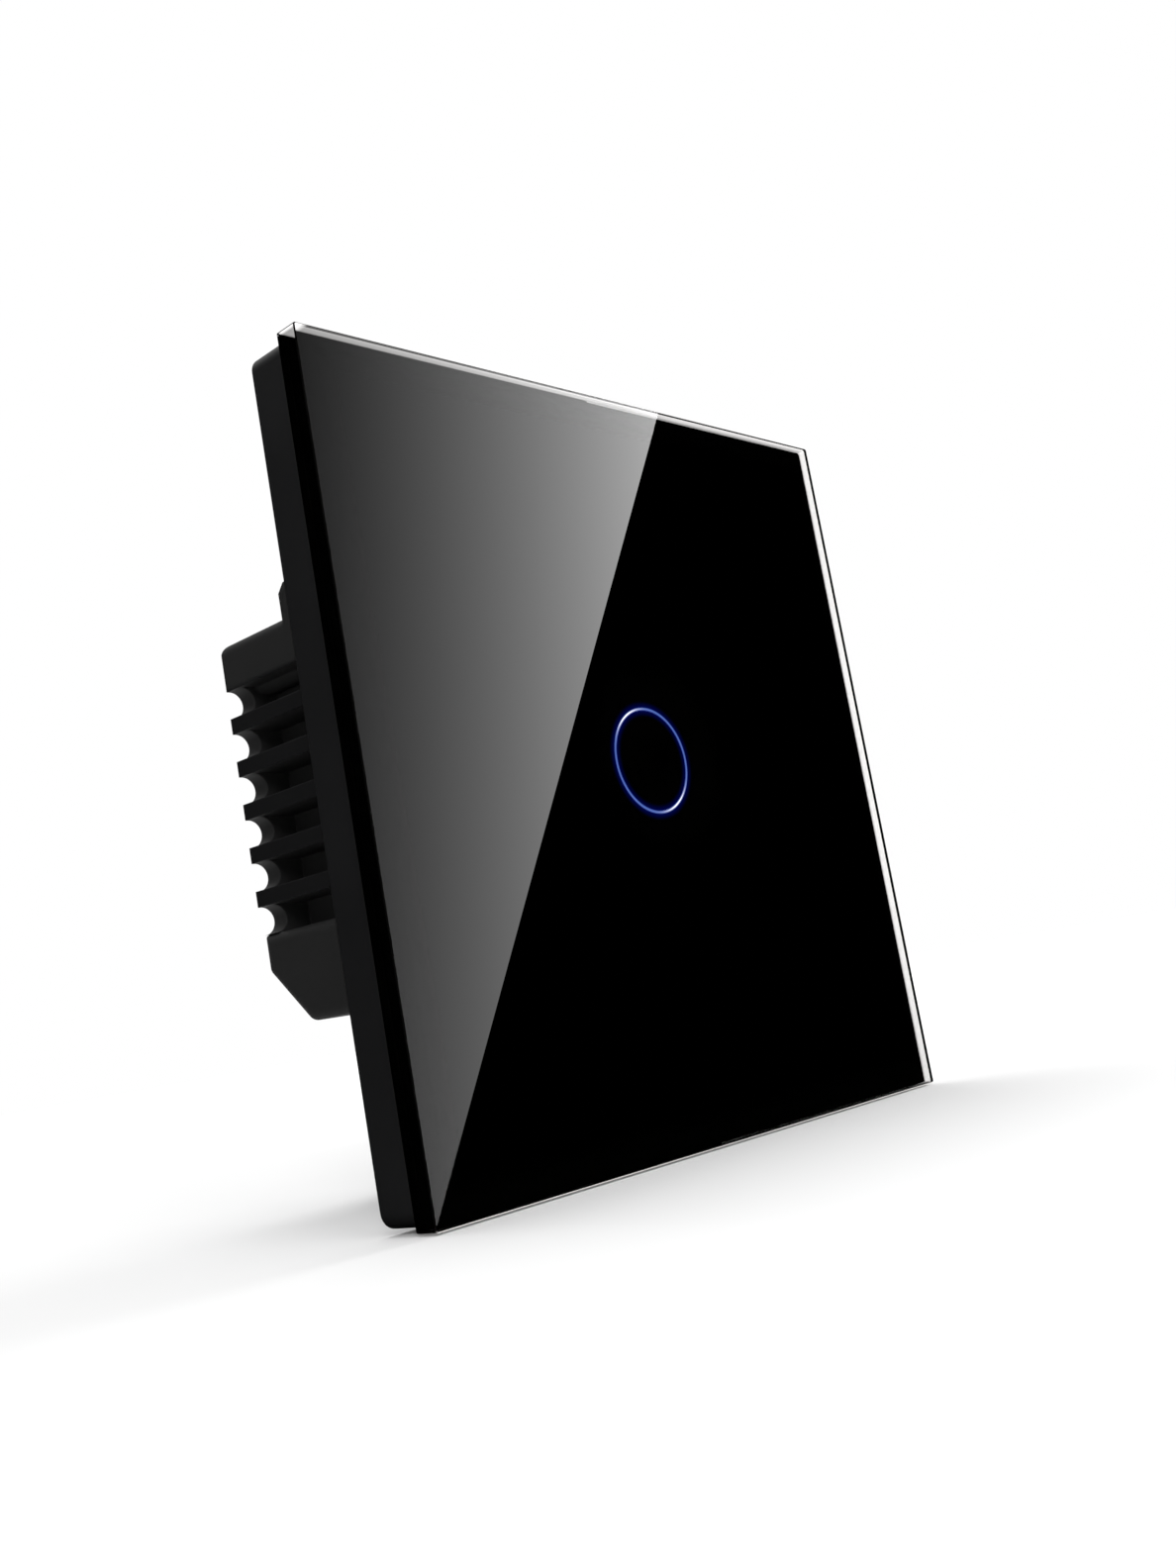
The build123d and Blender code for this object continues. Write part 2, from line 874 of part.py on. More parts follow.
# Places inside the relay
relay_low_x = relay_x - relay_length / 2
relay_high_x = relay_x + relay_length / 2
relay_back = power_back + relay_height
relay_floor = power_back + relay_base_height
yoke_x = relay_high_x - relay_skin - yoke_gap - yoke_thickness
coil_x = relay_low_x + relay_length * coil_x_share
coil_front = relay_floor + yoke_thickness
coil_back = coil_front + coil_length
pole_face = coil_back + pole_height
armature_front = pole_face + armature_gap
hinge_y = armature_front
hinge_x = yoke_x + yoke_thickness / 2


def relay_base():
    half = relay_width / 2
    base = block(relay_low_x, relay_high_x, power_back, relay_floor, relay_z - half, relay_z + half)
    for x, z in relay_pin_places():
        base -= rod(x, z, power_back - overrun, relay_floor + overrun, relay_pin_radius + fit_gap)
    return base


def relay_cover():
    half = relay_width / 2
    inner = half - relay_skin
    cover = block(relay_low_x, relay_high_x, relay_floor, relay_back, relay_z - half, relay_z + half)
    return cover - block(
        relay_low_x + relay_skin, relay_high_x - relay_skin, relay_floor - overrun, relay_back - relay_skin,
        relay_z - inner, relay_z + inner,
    )


def relay_bobbin():
    bobbin = rod(coil_x, relay_z, coil_front, coil_back, bobbin_hub)
    for y in (coil_front, coil_back - bobbin_flange):
        bobbin += rod(coil_x, relay_z, y, y + bobbin_flange, coil_radius)
    return bobbin - rod(coil_x, relay_z, coil_front - overrun, coil_back + overrun, core_radius)


def relay_winding():
    gap = bobbin_flange
    outer = coil_radius - winding_drop
    return tube(coil_x, relay_z, coil_front + gap, coil_back - gap, bobbin_hub, outer)


def relay_core():
    core = rod(coil_x, relay_z, coil_front, coil_back, core_radius)
    return core + rod(coil_x, relay_z, coil_back, pole_face, pole_radius)


def relay_yoke():
    half = yoke_width / 2
    low = relay_z - half
    high = relay_z + half
    end = yoke_x + yoke_thickness
    foot = block(coil_x - coil_radius, end, relay_floor, coil_front, low, high)
    return foot + block(yoke_x, end, relay_floor, hinge_y - yoke_top_gap, low, high)


def relay_armature():
    half = armature_width / 2
    back = armature_front + armature_thickness
    return block(
        hinge_x - armature_reach, yoke_x + yoke_thickness, armature_front, back,
        relay_z - half, relay_z + half,
    )


def leaf_tip():
    return hinge_x - armature_reach - leaf_overhang


def contact_leaf():
    back = armature_front + armature_thickness
    half = leaf_width / 2
    return block(
        leaf_tip(), hinge_x - armature_reach / 2, back, back + leaf_thickness,
        relay_z - half, relay_z + half,
    )


def button_x():
    return leaf_tip() + contact_radius + leaf_edge


def moving_contact():
    back = armature_front + armature_thickness
    return rod(button_x(), relay_z, back - contact_height, back, contact_radius)


def fixed_contact():
    face = armature_front + armature_thickness - contact_height - contact_open
    half = contact_post_width / 2
    x = button_x()
    post = block(
        x - contact_radius, x - contact_radius + contact_post_thickness, relay_floor, face - contact_height,
        relay_z - half, relay_z + half,
    )
    shelf = block(
        x - contact_radius, x + contact_radius, face - contact_height - contact_post_thickness,
        face - contact_height, relay_z - half, relay_z + half,
    )
    return post + shelf + rod(x, relay_z, face - contact_height, face, contact_radius)


def relay_pin_places():
    inset = relay_skin + relay_pin_radius * 2
    spread = relay_width / 2 - inset
    ends = (relay_low_x + inset, relay_high_x - inset)
    return [(x, relay_z + side * spread) for x in ends for side in (-1, 1)]


def relay_pins():
    pins = Part()
    for x, z in relay_pin_places():
        pins += rod(x, z, power_board_front - pin_tail, relay_floor, relay_pin_radius)
    return pins


def leads(places, y0):
    """Short round wires from a part down through to the board's face."""
    wires = Part()
    for x, z in places:
        wires += rod(x, z, power_back, y0, lead_radius)
    return wires


def film_capacitor():
    base = power_back + part_standoff
    half_x = film_length / 2
    half_z = film_width / 2
    case = block(
        film_x - half_x, film_x + half_x, base, base + film_height, film_z - half_z, film_z + half_z
    )
    case = fillet(case.edges(), film_corner)
    feet = [(film_x + side * half_x * lead_spread_share, film_z) for side in (-1, 1)]
    return case + leads(feet, base + film_corner)


def electrolytic_capacitor():
    base = power_back + part_standoff
    bead = base + can_bead_height
    can = rod(can_x, can_z, base, base + can_height, can_radius)
    can -= tube(can_x, can_z, bead, bead + can_bead, can_radius - can_bead, can_radius + overrun)
    can = fillet(can.edges().sort_by(Axis.Y)[-1], can_bead)
    feet = [(can_x, can_z - can_radius / 2), (can_x, can_z + can_radius / 2)]
    return can + leads(feet, base)


def rectifier_diodes():
    diodes = Part()
    half = diode_length / 2
    y = power_back + diode_radius
    for index in range(diode_count):
        x = diode_x + index * (diode_length + 2 * lead_rise)
        body = rod_x(x - half, x + half, y, diode_z, diode_radius)
        reach = half + lead_rise - lead_radius
        wire = rod_x(x - reach, x + reach, y, diode_z, lead_radius)
        diodes += body + wire + leads([(x - reach, diode_z), (x + reach, diode_z)], y)
    return diodes


def fuse():
    half = fuse_length / 2
    y = power_back + fuse_radius
    body = rod_x(fuse_x - half, fuse_x + half, y, fuse_z, fuse_radius - fuse_cap_step)
    for x in (fuse_x - half, fuse_x + half - fuse_cap):
        body += rod_x(x, x + fuse_cap, y, fuse_z, fuse_radius)
    return body


def varistor():
    y = power_back + part_standoff + varistor_radius
    half = varistor_thickness / 2
    disc = rod_z(varistor_x, y, varistor_z - half, varistor_z + half, varistor_radius)
    disc = fillet(disc.edges(), varistor_thickness / 5)
    feet = [(varistor_x + side * varistor_radius / 2, varistor_z) for side in (-1, 1)]
    return disc + leads(feet, y)


def choke_core():
    top = power_back + choke_height
    core = rod(choke_x, choke_z, power_back, top, choke_hub)
    for y in (power_back, top - choke_flange):
        core += rod(choke_x, choke_z, y, y + choke_flange, choke_radius)
    return core


def choke_winding():
    low = power_back + choke_flange
    high = power_back + choke_height - choke_flange
    return tube(choke_x, choke_z, low, high, choke_hub, choke_winding_radius)


def switching_transistor():
    face = power_board_front
    half_x = mosfet_width / 2
    half_z = mosfet_length / 2
    body = block(
        mosfet_x - half_x, mosfet_x + half_x, face - mosfet_height, face,
        mosfet_z - half_z, mosfet_z + half_z,
    )
    tab = block(
        mosfet_x - half_x + mosfet_tab, mosfet_x + half_x - mosfet_tab, face - mosfet_tab, face,
        mosfet_z + half_z, mosfet_z + half_z + mosfet_tab_length,
    )
    body += tab
    for side in (-1, 1):
        x = mosfet_x + side * half_x / 2
        body += block(
            x - mosfet_tab, x + mosfet_tab, face - mosfet_tab, face,
            mosfet_z - half_z - mosfet_tab_length, mosfet_z - half_z,
        )
    return body


nodes = {
    "glass_panel": glass_panel(),
    "printed_mask": printed_mask(),
    "ring_window": ring_band(ink_front, ink_back),
    "adhesive_tape": adhesive_tape(),
    "panel_frame": panel_frame(),
    "mounting_frame": mounting_frame(),
    "frame_rivets": frame_rivets(),
    "catch_springs": catch_springs(),
    "rear_shell": rear_shell(),
    "front_cover": front_cover(),
    "housing_screws": housing_screws(),
    "foam_gasket": foam_gasket(),
    "ring_light_guide": ring_light_guide(),
    "touch_board": touch_board(),
    "touch_electrode": touch_electrode(),
    "sensing_foam": sensing_foam(),
    "indicator_leds": indicator_leds(),
    "touch_chip": touch_chip(),
    "board_resistors": chip_row(resistor_count, resistor_pitch, resistor_z, resistor_height),
    "board_capacitors": chip_row(capacitor_count, capacitor_pitch, capacitor_z, capacitor_height),
    "header_socket": header_socket(),
    "header_base": header_base(),
    "header_pins": header_pins(),
    "power_board": power_board(),
    "board_screws": board_screws(),
    "control_chip": control_chip(),
    "switching_transistor": switching_transistor(),
    "film_capacitor": film_capacitor(),
    "electrolytic_capacitor": electrolytic_capacitor(),
    "rectifier_diodes": rectifier_diodes(),
    "fuse": fuse(),
    "varistor": varistor(),
    "choke_core": choke_core(),
    "choke_winding": choke_winding(),
    "terminal_block": terminal_block(),
    "relay_base": relay_base(),
    "relay_cover": relay_cover(),
    "relay_pins": relay_pins(),
    "relay_bobbin": relay_bobbin(),
    "relay_winding": relay_winding(),
    "relay_core": relay_core(),
    "relay_yoke": relay_yoke(),
    "relay_armature": relay_armature(),
    "contact_leaf": contact_leaf(),
    "moving_contact": moving_contact(),
    "fixed_contact": fixed_contact(),
}
for index in range(terminal_count):
    number = str(index + 1)
    nodes["terminal_contact_" + number] = terminal_contact(index)
    nodes["terminal_screw_" + number] = terminal_screw(index)
    nodes["terminal_cage_" + number] = terminal_cage(index)

for name, shape in nodes.items():
    save(name, shape)
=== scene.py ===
# %% [markdown]
# # A touch light switch, dressed in Blender
# The switch is a black-printed glass panel that clips over a steel frame, with a ribbed black box
# behind it that goes into the wall. Its solids come packed from CAD and are loaded as a fixed
# frame. Everything below is in metres in that frame: the wall is the plane y = 0, the glass faces
# -Y and +Z is up. The CAD solids keep their shapes, and this lesson gives them finishes, a studio
# and a camera.

# %% Load the frame
import json
import math
import bmesh
import bpy
from mathutils import Matrix, Vector

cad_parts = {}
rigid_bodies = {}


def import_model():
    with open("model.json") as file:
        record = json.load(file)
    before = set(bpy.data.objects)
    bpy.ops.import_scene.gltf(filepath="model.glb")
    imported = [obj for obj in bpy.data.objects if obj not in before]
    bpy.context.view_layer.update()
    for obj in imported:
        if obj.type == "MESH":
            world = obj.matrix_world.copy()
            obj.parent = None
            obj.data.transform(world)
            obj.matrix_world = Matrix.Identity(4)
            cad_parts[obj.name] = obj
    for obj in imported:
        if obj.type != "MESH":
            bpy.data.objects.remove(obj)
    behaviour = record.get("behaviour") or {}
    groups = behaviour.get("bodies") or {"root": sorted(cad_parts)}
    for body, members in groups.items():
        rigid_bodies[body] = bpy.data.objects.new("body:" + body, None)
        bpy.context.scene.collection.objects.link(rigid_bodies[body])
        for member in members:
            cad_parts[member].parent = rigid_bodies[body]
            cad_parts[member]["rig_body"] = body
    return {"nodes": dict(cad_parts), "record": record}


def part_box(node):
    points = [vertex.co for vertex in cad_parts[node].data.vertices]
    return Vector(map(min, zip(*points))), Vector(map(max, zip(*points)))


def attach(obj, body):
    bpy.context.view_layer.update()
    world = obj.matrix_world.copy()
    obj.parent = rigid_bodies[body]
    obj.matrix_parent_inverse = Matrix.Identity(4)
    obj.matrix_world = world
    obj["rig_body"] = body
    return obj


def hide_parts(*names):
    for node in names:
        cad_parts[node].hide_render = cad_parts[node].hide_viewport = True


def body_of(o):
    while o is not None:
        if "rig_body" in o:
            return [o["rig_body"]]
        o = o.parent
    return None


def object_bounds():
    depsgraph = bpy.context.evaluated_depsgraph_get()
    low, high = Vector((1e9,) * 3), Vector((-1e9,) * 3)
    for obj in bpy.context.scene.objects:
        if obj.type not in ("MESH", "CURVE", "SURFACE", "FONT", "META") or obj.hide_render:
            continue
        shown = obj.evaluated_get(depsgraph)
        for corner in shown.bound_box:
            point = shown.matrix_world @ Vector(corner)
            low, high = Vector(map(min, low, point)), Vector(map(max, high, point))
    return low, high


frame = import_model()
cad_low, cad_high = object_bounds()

mm = 0.001
nodes = frame["nodes"]
bpy.context.scene.view_settings.view_transform = "Standard"
print("CAD box, mm:", [round(v / mm, 2) for v in (*cad_low, *cad_high)])

# %% [markdown]
# ## The camera
# The photograph looks at the switch from the lower left, a little upwards. The camera was found
# from the glass panel's four corners, which are a square of known size. Blender wants its place,
# the direction it looks in and a focal length. The sensor width goes with the picture's long side.

# %% Camera
camera_place = Vector((-126.309, -108.905, -23.755)) * mm
camera_ahead = Vector((0.7401675, 0.6583805, 0.1367007))
camera_right = Vector((0.6722534, -0.7199691, -0.1723944))
camera_up = Vector((0.0150809, -0.2194983, 0.9754963))
picture_width, picture_height, focal_pixels = 1188, 1584, 1587.145
sensor_width = 36


def turned(right, up, ahead, place):
    """The matrix of a thing at place that looks ahead, as a camera or a lamp does."""
    matrix = Matrix((right, up, -ahead)).transposed().to_4x4()
    matrix.translation = place
    return matrix


camera = bpy.data.objects.new("camera", bpy.data.cameras.new("camera"))
bpy.context.scene.collection.objects.link(camera)
camera.data.sensor_width = sensor_width
camera.data.lens = sensor_width * focal_pixels / picture_height
camera.data.clip_start = 5 * mm
camera.matrix_world = turned(camera_right, camera_up, camera_ahead, camera_place)
bpy.context.scene.camera = camera
print("lens, mm:", round(camera.data.lens, 3))

# %% [markdown]
# ## Shader maths as plain Python
# A material is a tree of nodes. `Value` wraps one output socket and turns Python's operators into
# Math nodes, so that a rule for a surface reads like the rule itself. `Nodes` owns one tree, and
# its `node` method adds any other node: settings first, then values and links.

# %% Value
class Value:
    """One output socket of a tree. Arithmetic on it adds Math nodes."""

    def __init__(self, tree, socket):
        self.tree = tree
        self.socket = socket

    def maths(self, operation, *terms):
        made = self.tree.nodes.new("ShaderNodeMath")
        made.operation = operation
        for place, term in zip(made.inputs, terms):
            plug(self.tree, place, term)
        return Value(self.tree, made.outputs[0])

    def __add__(self, other):
        return self.maths("ADD", self, other)

    def __sub__(self, other):
        return self.maths("SUBTRACT", self, other)

    def __mul__(self, other):
        return self.maths("MULTIPLY", self, other)

    def __truediv__(self, other):
        return self.maths("DIVIDE", self, other)

    def __radd__(self, other):
        return self.maths("ADD", other, self)

    def __rsub__(self, other):
        return self.maths("SUBTRACT", other, self)

    def __rmul__(self, other):
        return self.maths("MULTIPLY", other, self)

    def __rtruediv__(self, other):
        return self.maths("DIVIDE", other, self)

    def __pow__(self, other):
        return self.maths("POWER", self, other)

    def __gt__(self, other):
        return self.maths("GREATER_THAN", self, other)

    def __lt__(self, other):
        return self.maths("LESS_THAN", self, other)

    def size(self):
        return self.maths("ABSOLUTE", self)

    def root(self):
        return self.maths("SQRT", self)

    def limited(self):
        """The value held between 0 and 1."""
        return self.maths("MINIMUM", self.maths("MAXIMUM", self, 0), 1)

    def most(self, other):
        return self.maths("MAXIMUM", self, other)

    def least(self, other):
        return self.maths("MINIMUM", self, other)

    def wrapped(self, pitch):
        """How far the value is from the nearest multiple of pitch, with its sign."""
        return self.maths("WRAP", self, pitch / 2, -pitch / 2)

    def wave(self, pitch):
        """A sine from 0 to 1 that repeats every pitch."""
        return 0.5 + 0.5 * self.maths("SINE", self * (2 * math.pi / pitch))


def plug(tree, place, term):
    """Sets an input socket to a number, a colour or a link."""
    if isinstance(term, Value):
        tree.links.new(term.socket, place)
    else:
        place.default_value = term


# %% Nodes and Finish
class Nodes:
    """A tree of nodes that starts empty."""

    def __init__(self, tree):
        self.tree = tree
        self.tree.nodes.clear()

    def node(self, kind, settings=None, sockets=None, output=0):
        """Adds a node: its settings first, then its sockets. Gives one output as a Value."""
        family = "" if kind.startswith(("Geometry", "Function")) else "ShaderNode"
        made = self.tree.nodes.new(family + kind)
        for name, setting in (settings or {}).items():
            setattr(made, name, setting)
        for name, term in (sockets or {}).items():
            for one in term if isinstance(term, list) else [term]:
                plug(self.tree, made.inputs[name], one)
        return Value(self.tree, made.outputs[output])

    def ends_in(self, kind, shader):
        """Sends a shader to the tree's output node."""
        out = self.tree.nodes.new("ShaderNodeOutput" + kind)
        self.tree.links.new(shader.socket, out.inputs["Surface"])


class Finish(Nodes):
    """A material built from nodes."""

    def __init__(self, name):
        self.material = bpy.data.materials.new(name)
        self.material.use_nodes = True
        super().__init__(self.material.node_tree)

    def surface(self, shader):
        self.ends_in("Material", shader)
        return self.material

    def principled(self, sockets):
        return self.node("BsdfPrincipled", None, sockets)

    def mixed(self, first, second, share):
        """A shader between two others."""
        return self.node("MixShader", None, {0: share, 1: first, 2: second})


def linear(level):
    """A screen level, 0 to 255, as the linear value that shaders use."""
    share = level / 255
    return share / 12.92 if share <= 0.04045 else ((share + 0.055) / 1.055) ** 2.4


def colour(red, green, blue):
    return (linear(red), linear(green), linear(blue), 1)


def shade(tone, factor):
    """A linear colour made darker or lighter."""
    return (*[min(1, channel * factor) for channel in tone[:3]], 1)


# %% [markdown]
# ## The studio
# The photograph has a white background and shows no floor, so the floor and the world are both
# white to the camera, and to rays that glass and metal send out. `Light Path` tells those rays from
# the diffuse ones, which get a softer fill.

# %% World
fill_level = 0.5


def seen_directly(tree):
    """1 for rays from the camera and for those that mirrors and glass send on."""
    kinds = [tree.node("LightPath", output=name)
             for name in ("Is Camera Ray", "Is Glossy Ray", "Is Transmission Ray")]
    return (kinds[0] + kinds[1] + kinds[2]).limited()


world = bpy.data.worlds.new("white studio")
world.use_nodes = True
bpy.context.scene.world = world
sky = Nodes(world.node_tree)
sky_level = fill_level + (1 - fill_level) * seen_directly(sky)
sky.ends_in("World", sky.node("Background", None, {"Color": (1, 1, 1, 1), "Strength": sky_level}))
print("the world fills with", fill_level, "and looks white")

# %% [markdown]
# Part of the floor's white is its own and part is lit, so the switch still leaves its shadow there.
# Near the switch the floor's own glow is weak. It grows from 12 cm away, so that further off the
# floor can't be told from the world.

# %% Floor
floor_level = cad_low.z - 0.2 * mm
floor_reach = 3.0
near_glow, far_glow, glow_starts = 0.04, 0.75, 0.12


def sheet(name, corners, material):
    """A flat sheet through these corners."""
    mesh = bpy.data.meshes.new(name)
    mesh.from_pydata([tuple(c) for c in corners], [], [list(range(len(corners)))])
    made = bpy.data.objects.new(name, mesh)
    bpy.context.scene.collection.objects.link(made)
    made.data.materials.append(material)
    return made


floor_finish = Finish("white floor")
away = floor_finish.node("VectorMath", {"operation": "LENGTH"},
                         {0: floor_finish.node("TexCoord", output="Object")}, output="Value")
floor_glow = near_glow + (far_glow - near_glow) * (away - glow_starts).limited()
floor_glow = floor_glow * seen_directly(floor_finish)
lit_white = floor_finish.node("BsdfDiffuse", None, {"Color": (0.8, 0.8, 0.8, 1)})
own_white = floor_finish.node("Emission", None, {"Strength": floor_glow})
floor_finish.surface(floor_finish.node("AddShader", None, {0: lit_white, 1: own_white}))
sheet("floor", [(floor_reach * across, floor_reach * along, floor_level)
                for across, along in ((-1, -1), (1, -1), (1, 1), (-1, 1))], floor_finish.material)
print("floor at, mm:", round(floor_level / mm, 2))

# %% [markdown]
# ## Lamps
# Soft boxes make soft edges on the shadows. The key lamp stands in front, to the left and above.
# The top lamp hangs over the switch and a little behind it: it lights the glass's upper rim and
# throws the shadow forwards. The right lamp lights the rim on that side, and the front lamp fills.

# %% Lamps
lamp_side = 0.5


def soft_box(name, place, watts):
    """A square area lamp that faces the switch."""
    lamp = bpy.data.lights.new(name, "AREA")
    lamp.shape = "SQUARE"
    lamp.size = lamp_side
    lamp.energy = watts
    made = bpy.data.objects.new(name, lamp)
    bpy.context.scene.collection.objects.link(made)
    ahead = -Vector(place).normalized()
    right = ahead.cross(Vector((0, 0, 1))).normalized()
    made.matrix_world = turned(right, right.cross(ahead), ahead, Vector(place))
    made.visible_camera = False
    print(name, "gives", watts, "W")


soft_box("key lamp", (-0.75, -0.65, 0.55), 5.0)
soft_box("top lamp", (0.08, 0.24, 0.92), 4.2)
soft_box("right lamp", (0.80, -0.10, 0.30), 3.5)
soft_box("front lamp", (-0.20, -0.90, 0.40), 2.5)

# %% [markdown]
# ## The glare on the glass
# Black glass shows what it mirrors. On its left it mirrors a bright card that fades to one side and
# is cut off on a slant, and elsewhere it mirrors a black flag. Both stand where the glass sends the
# camera's rays: the camera is mirrored in the glass, and the corners are laid out along the
# mirrored camera's own lines of sight. What would reach below the floor is laid flat on it instead.

# %% The mirrored camera
glass_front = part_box("glass_panel")[0].y


def mirrored(vector, plane=0.0):
    """A direction, or a place, mirrored in a plane that faces -Y."""
    return Vector((vector.x, 2 * plane - vector.y, vector.z))


mirrored_eye = mirrored(camera_place, glass_front)
print("mirrored camera, mm:", [round(v / mm, 1) for v in mirrored_eye])


def glass_shows(across, down, far):
    """The place that the glass shows at this pixel of the picture."""
    right = (across - picture_width / 2) / focal_pixels
    up = (picture_height / 2 - down) / focal_pixels
    ray = camera_ahead + right * camera_right + up * camera_up
    return mirrored_eye + far * mirrored(ray)


def cut_at_floor(outline, far, above):
    """A card's corners down to the floor, and the rest of them where their sight lines meet it."""
    level, eye = floor_level + above, mirrored_eye
    upright, lying = [], []
    for here, after in zip(outline, outline[1:] + outline[:1]):
        a, b = glass_shows(*here, far), glass_shows(*after, far)
        if a.z >= level:
            upright.append(a)
        else:
            lying.append(eye + (a - eye) * (level - eye.z) / (a.z - eye.z))
        if (a.z >= level) != (b.z >= level):
            crossing = a.lerp(b, (level - a.z) / (b.z - a.z))
            upright.append(crossing)
            lying.append(crossing)
    return upright, lying


# %% [markdown]
# The card's brightness is worked out backwards. At the glare's left end the picture shows 52 of
# 255, and it gains a third of a level with each pixel to the right. That level is made linear, and
# divided by the share of light that glass mirrors at this angle.

# %% The card's finish
glare_left, glare_level, glare_gain = 350, 52, 0.324
mirrored_share = 0.055

card_finish = Finish("glare card")
from_eye = card_finish.node("VectorMath", {"operation": "SUBTRACT"},
                            {0: card_finish.node("TexCoord", output="Object"), 1: mirrored_eye})
sideways, ahead = [card_finish.node("VectorMath", {"operation": "DOT_PRODUCT"},
                                    {0: from_eye, 1: mirrored(way)}, output="Value")
                   for way in (camera_right, camera_ahead)]
across = sideways / ahead * focal_pixels + picture_width / 2
shown = (glare_level + glare_gain * (across - glare_left)) / 255
glare = ((shown + 0.055) / 1.055) ** 2.4
card_finish.surface(card_finish.node("Emission", None, {"Strength": glare / mirrored_share}))
flag_finish = Finish("black flag")
flag_finish.surface(flag_finish.node("BsdfDiffuse", None, {"Color": (0, 0, 0, 1)}))

# %% [markdown]
# Outlines are in the picture's pixels. The flag stands behind the card, and each lies a hair above
# the floor so that the two don't touch. Only mirrors see them, and they light nothing.

# %% Card and flag
card_far, flag_far = 0.90, 0.92
slant = [(672.9, 388.0), (431.5, 1275.0)]
card_outline = [(230, 250), (710.5, 250), *slant, (415.5, 1334), (230, 1334)]
flag_outline = [(60, 60), (1140, 60), (1140, 1520), (60, 1520)]


def only_mirrored(made):
    """Keeps a card out of every ray but those that mirrors and glass send on."""
    made.visible_camera = made.visible_diffuse = made.visible_shadow = False


for name, outline, far, above, finish in (
        ("glare_card", card_outline, card_far, 0.10 * mm, card_finish),
        ("black_flag", flag_outline, flag_far, 0.05 * mm, flag_finish)):
    for part, corners in zip(("upright", "lying"), cut_at_floor(outline, far, above)):
        only_mirrored(sheet(f"{name}_{part}", corners, finish.material))
        print(f"{name}_{part} has", len(corners), "corners")

# %% [markdown]
# The switch's left side is nearly black in the photograph, so the studio is black on that side too:
# one flag stands to the left of the box, and one lies on the floor in front of it.

# %% Flags on the left
left_low = floor_level + 0.05 * mm
left_line = [(-0.55, -0.05), (-0.05, 0.75)]
left_high = 0.45
standing = [(x, y, left_low) for x, y in left_line]
standing += [(x, y, left_high) for x, y in reversed(left_line)]
lying = [(-0.045, -0.009, left_low), (-0.045, 0.30, left_low)]
lying += [(x, y, left_low) for x, y in reversed(left_line)]
for name, corners in (("left_flag_standing", standing), ("left_flag_lying", lying)):
    only_mirrored(sheet(name, corners, flag_finish.material))
print("left flag's height, m:", round(left_high - left_low, 3))

# %% [markdown]
# ## Places on a piece
# A pattern has to stay with its piece when the piece moves, so it reads Object coordinates, which
# are the mesh's own. `places` gives them in millimetres as three values.

# %% Object coordinates and patterns
def spot(finish):
    """The piece's own coordinates, as a vector in metres."""
    return finish.node("TexCoord", output="Object")


def parts_of(finish, vector):
    """A vector's x, y and z."""
    return [finish.node("SeparateXYZ", None, {0: vector}, output=axis) for axis in "XYZ"]


def places(finish):
    """x, y and z on the piece, in millimetres."""
    return [part * (1 / mm) for part in parts_of(finish, spot(finish))]


def grain(finish, size, detail=2.0, along=None):
    """Noise with cells of this many millimetres, from 0 to 1. along stretches it on each axis."""
    vector = spot(finish)
    if along:
        vector = finish.node("Mapping", {"vector_type": "POINT"},
                             {"Vector": vector, "Scale": along})
    return finish.node("TexNoise", None,
                       {"Vector": vector, "Scale": 1 / (size * mm), "Detail": detail})


def cells(finish, size, output="Distance"):
    """Voronoi cells of this many millimetres."""
    return finish.node("TexVoronoi", None,
                       {"Vector": spot(finish), "Scale": 1 / (size * mm)}, output=output)


def relief(finish, height, depth, normal=None):
    """A bump from a height pattern whose full swing is depth millimetres."""
    sockets = {"Height": height, "Distance": depth * mm, "Strength": 1.0}
    if normal:
        sockets["Normal"] = normal
    return finish.node("Bump", None, sockets)


def tinted(finish, first, second, share):
    """A colour between two others."""
    return finish.node("Mix", {"data_type": "RGBA"},
                       {"Factor": share, 6: first, 7: second}, output=2)


# %% [markdown]
# ## Clear glass with a bright rim
# The panel is toughened glass, printed on its back. Three things make its look. The print is fused
# on, so no air lies between them and the back sends nothing back: there the glass is simply
# see-through. The front mirrors. The sides are ground, so from inside the glass they glow with the
# studio's light, and a bright band shows along the top and the right, while from outside one looks
# in at the black print.
#
# A glass shader picks one ray in twenty for the mirror and sends the rest on, which leaves a grainy
# glare. Where plain black print lies under the front, nothing comes back from below, so there the
# front is a black mirror with the same gloss. It fades into clear glass near the rim and the ring.

# %% The glass's own measures, in millimetres
glass_low, glass_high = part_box("glass_panel")
glass_thickness = (glass_high.y - glass_low.y) / mm
half_width = glass_high.x / mm
print_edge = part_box("printed_mask")[1].x / mm
back_edge = glass_thickness - 0.2
face_hair = 0.01
ring_line = 0.36
ring_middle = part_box("ring_window")[1].x / mm - ring_line / 2
print("glass, mm:", round(glass_thickness, 2), "thick; the ring's middle at", round(ring_middle, 3))


def between(first, second, share):
    """A number that goes from the first to the second as the share goes from 0 to 1."""
    return first + (second - first) * share


# %% [markdown]
# The rim's tone is painted light and shade in bands from the front to the back: a dark line first,
# which is a painted reflection of the black print, then a painted bright line, then an even band.
# The tones are the levels of a screen, made linear, and along the top their painted light changes
# from left to right, with a painted highlight at the left corner. The sides are speckled. They get
# more of the lamps' light towards the top, so their tone is painted darker there, as painted shade.

# %% Tone of the ground rim
line_depth, band_depth, side_line_depth = 1.05, 1.55, 1.0
corner_highlight_end, corner_highlight_fade = 1.8, 0.8
painted_light_start, painted_light_fade = 6, 8


def levels(first, second, share):
    """A tone between two levels of a screen."""
    return between(linear(first), linear(second), share)


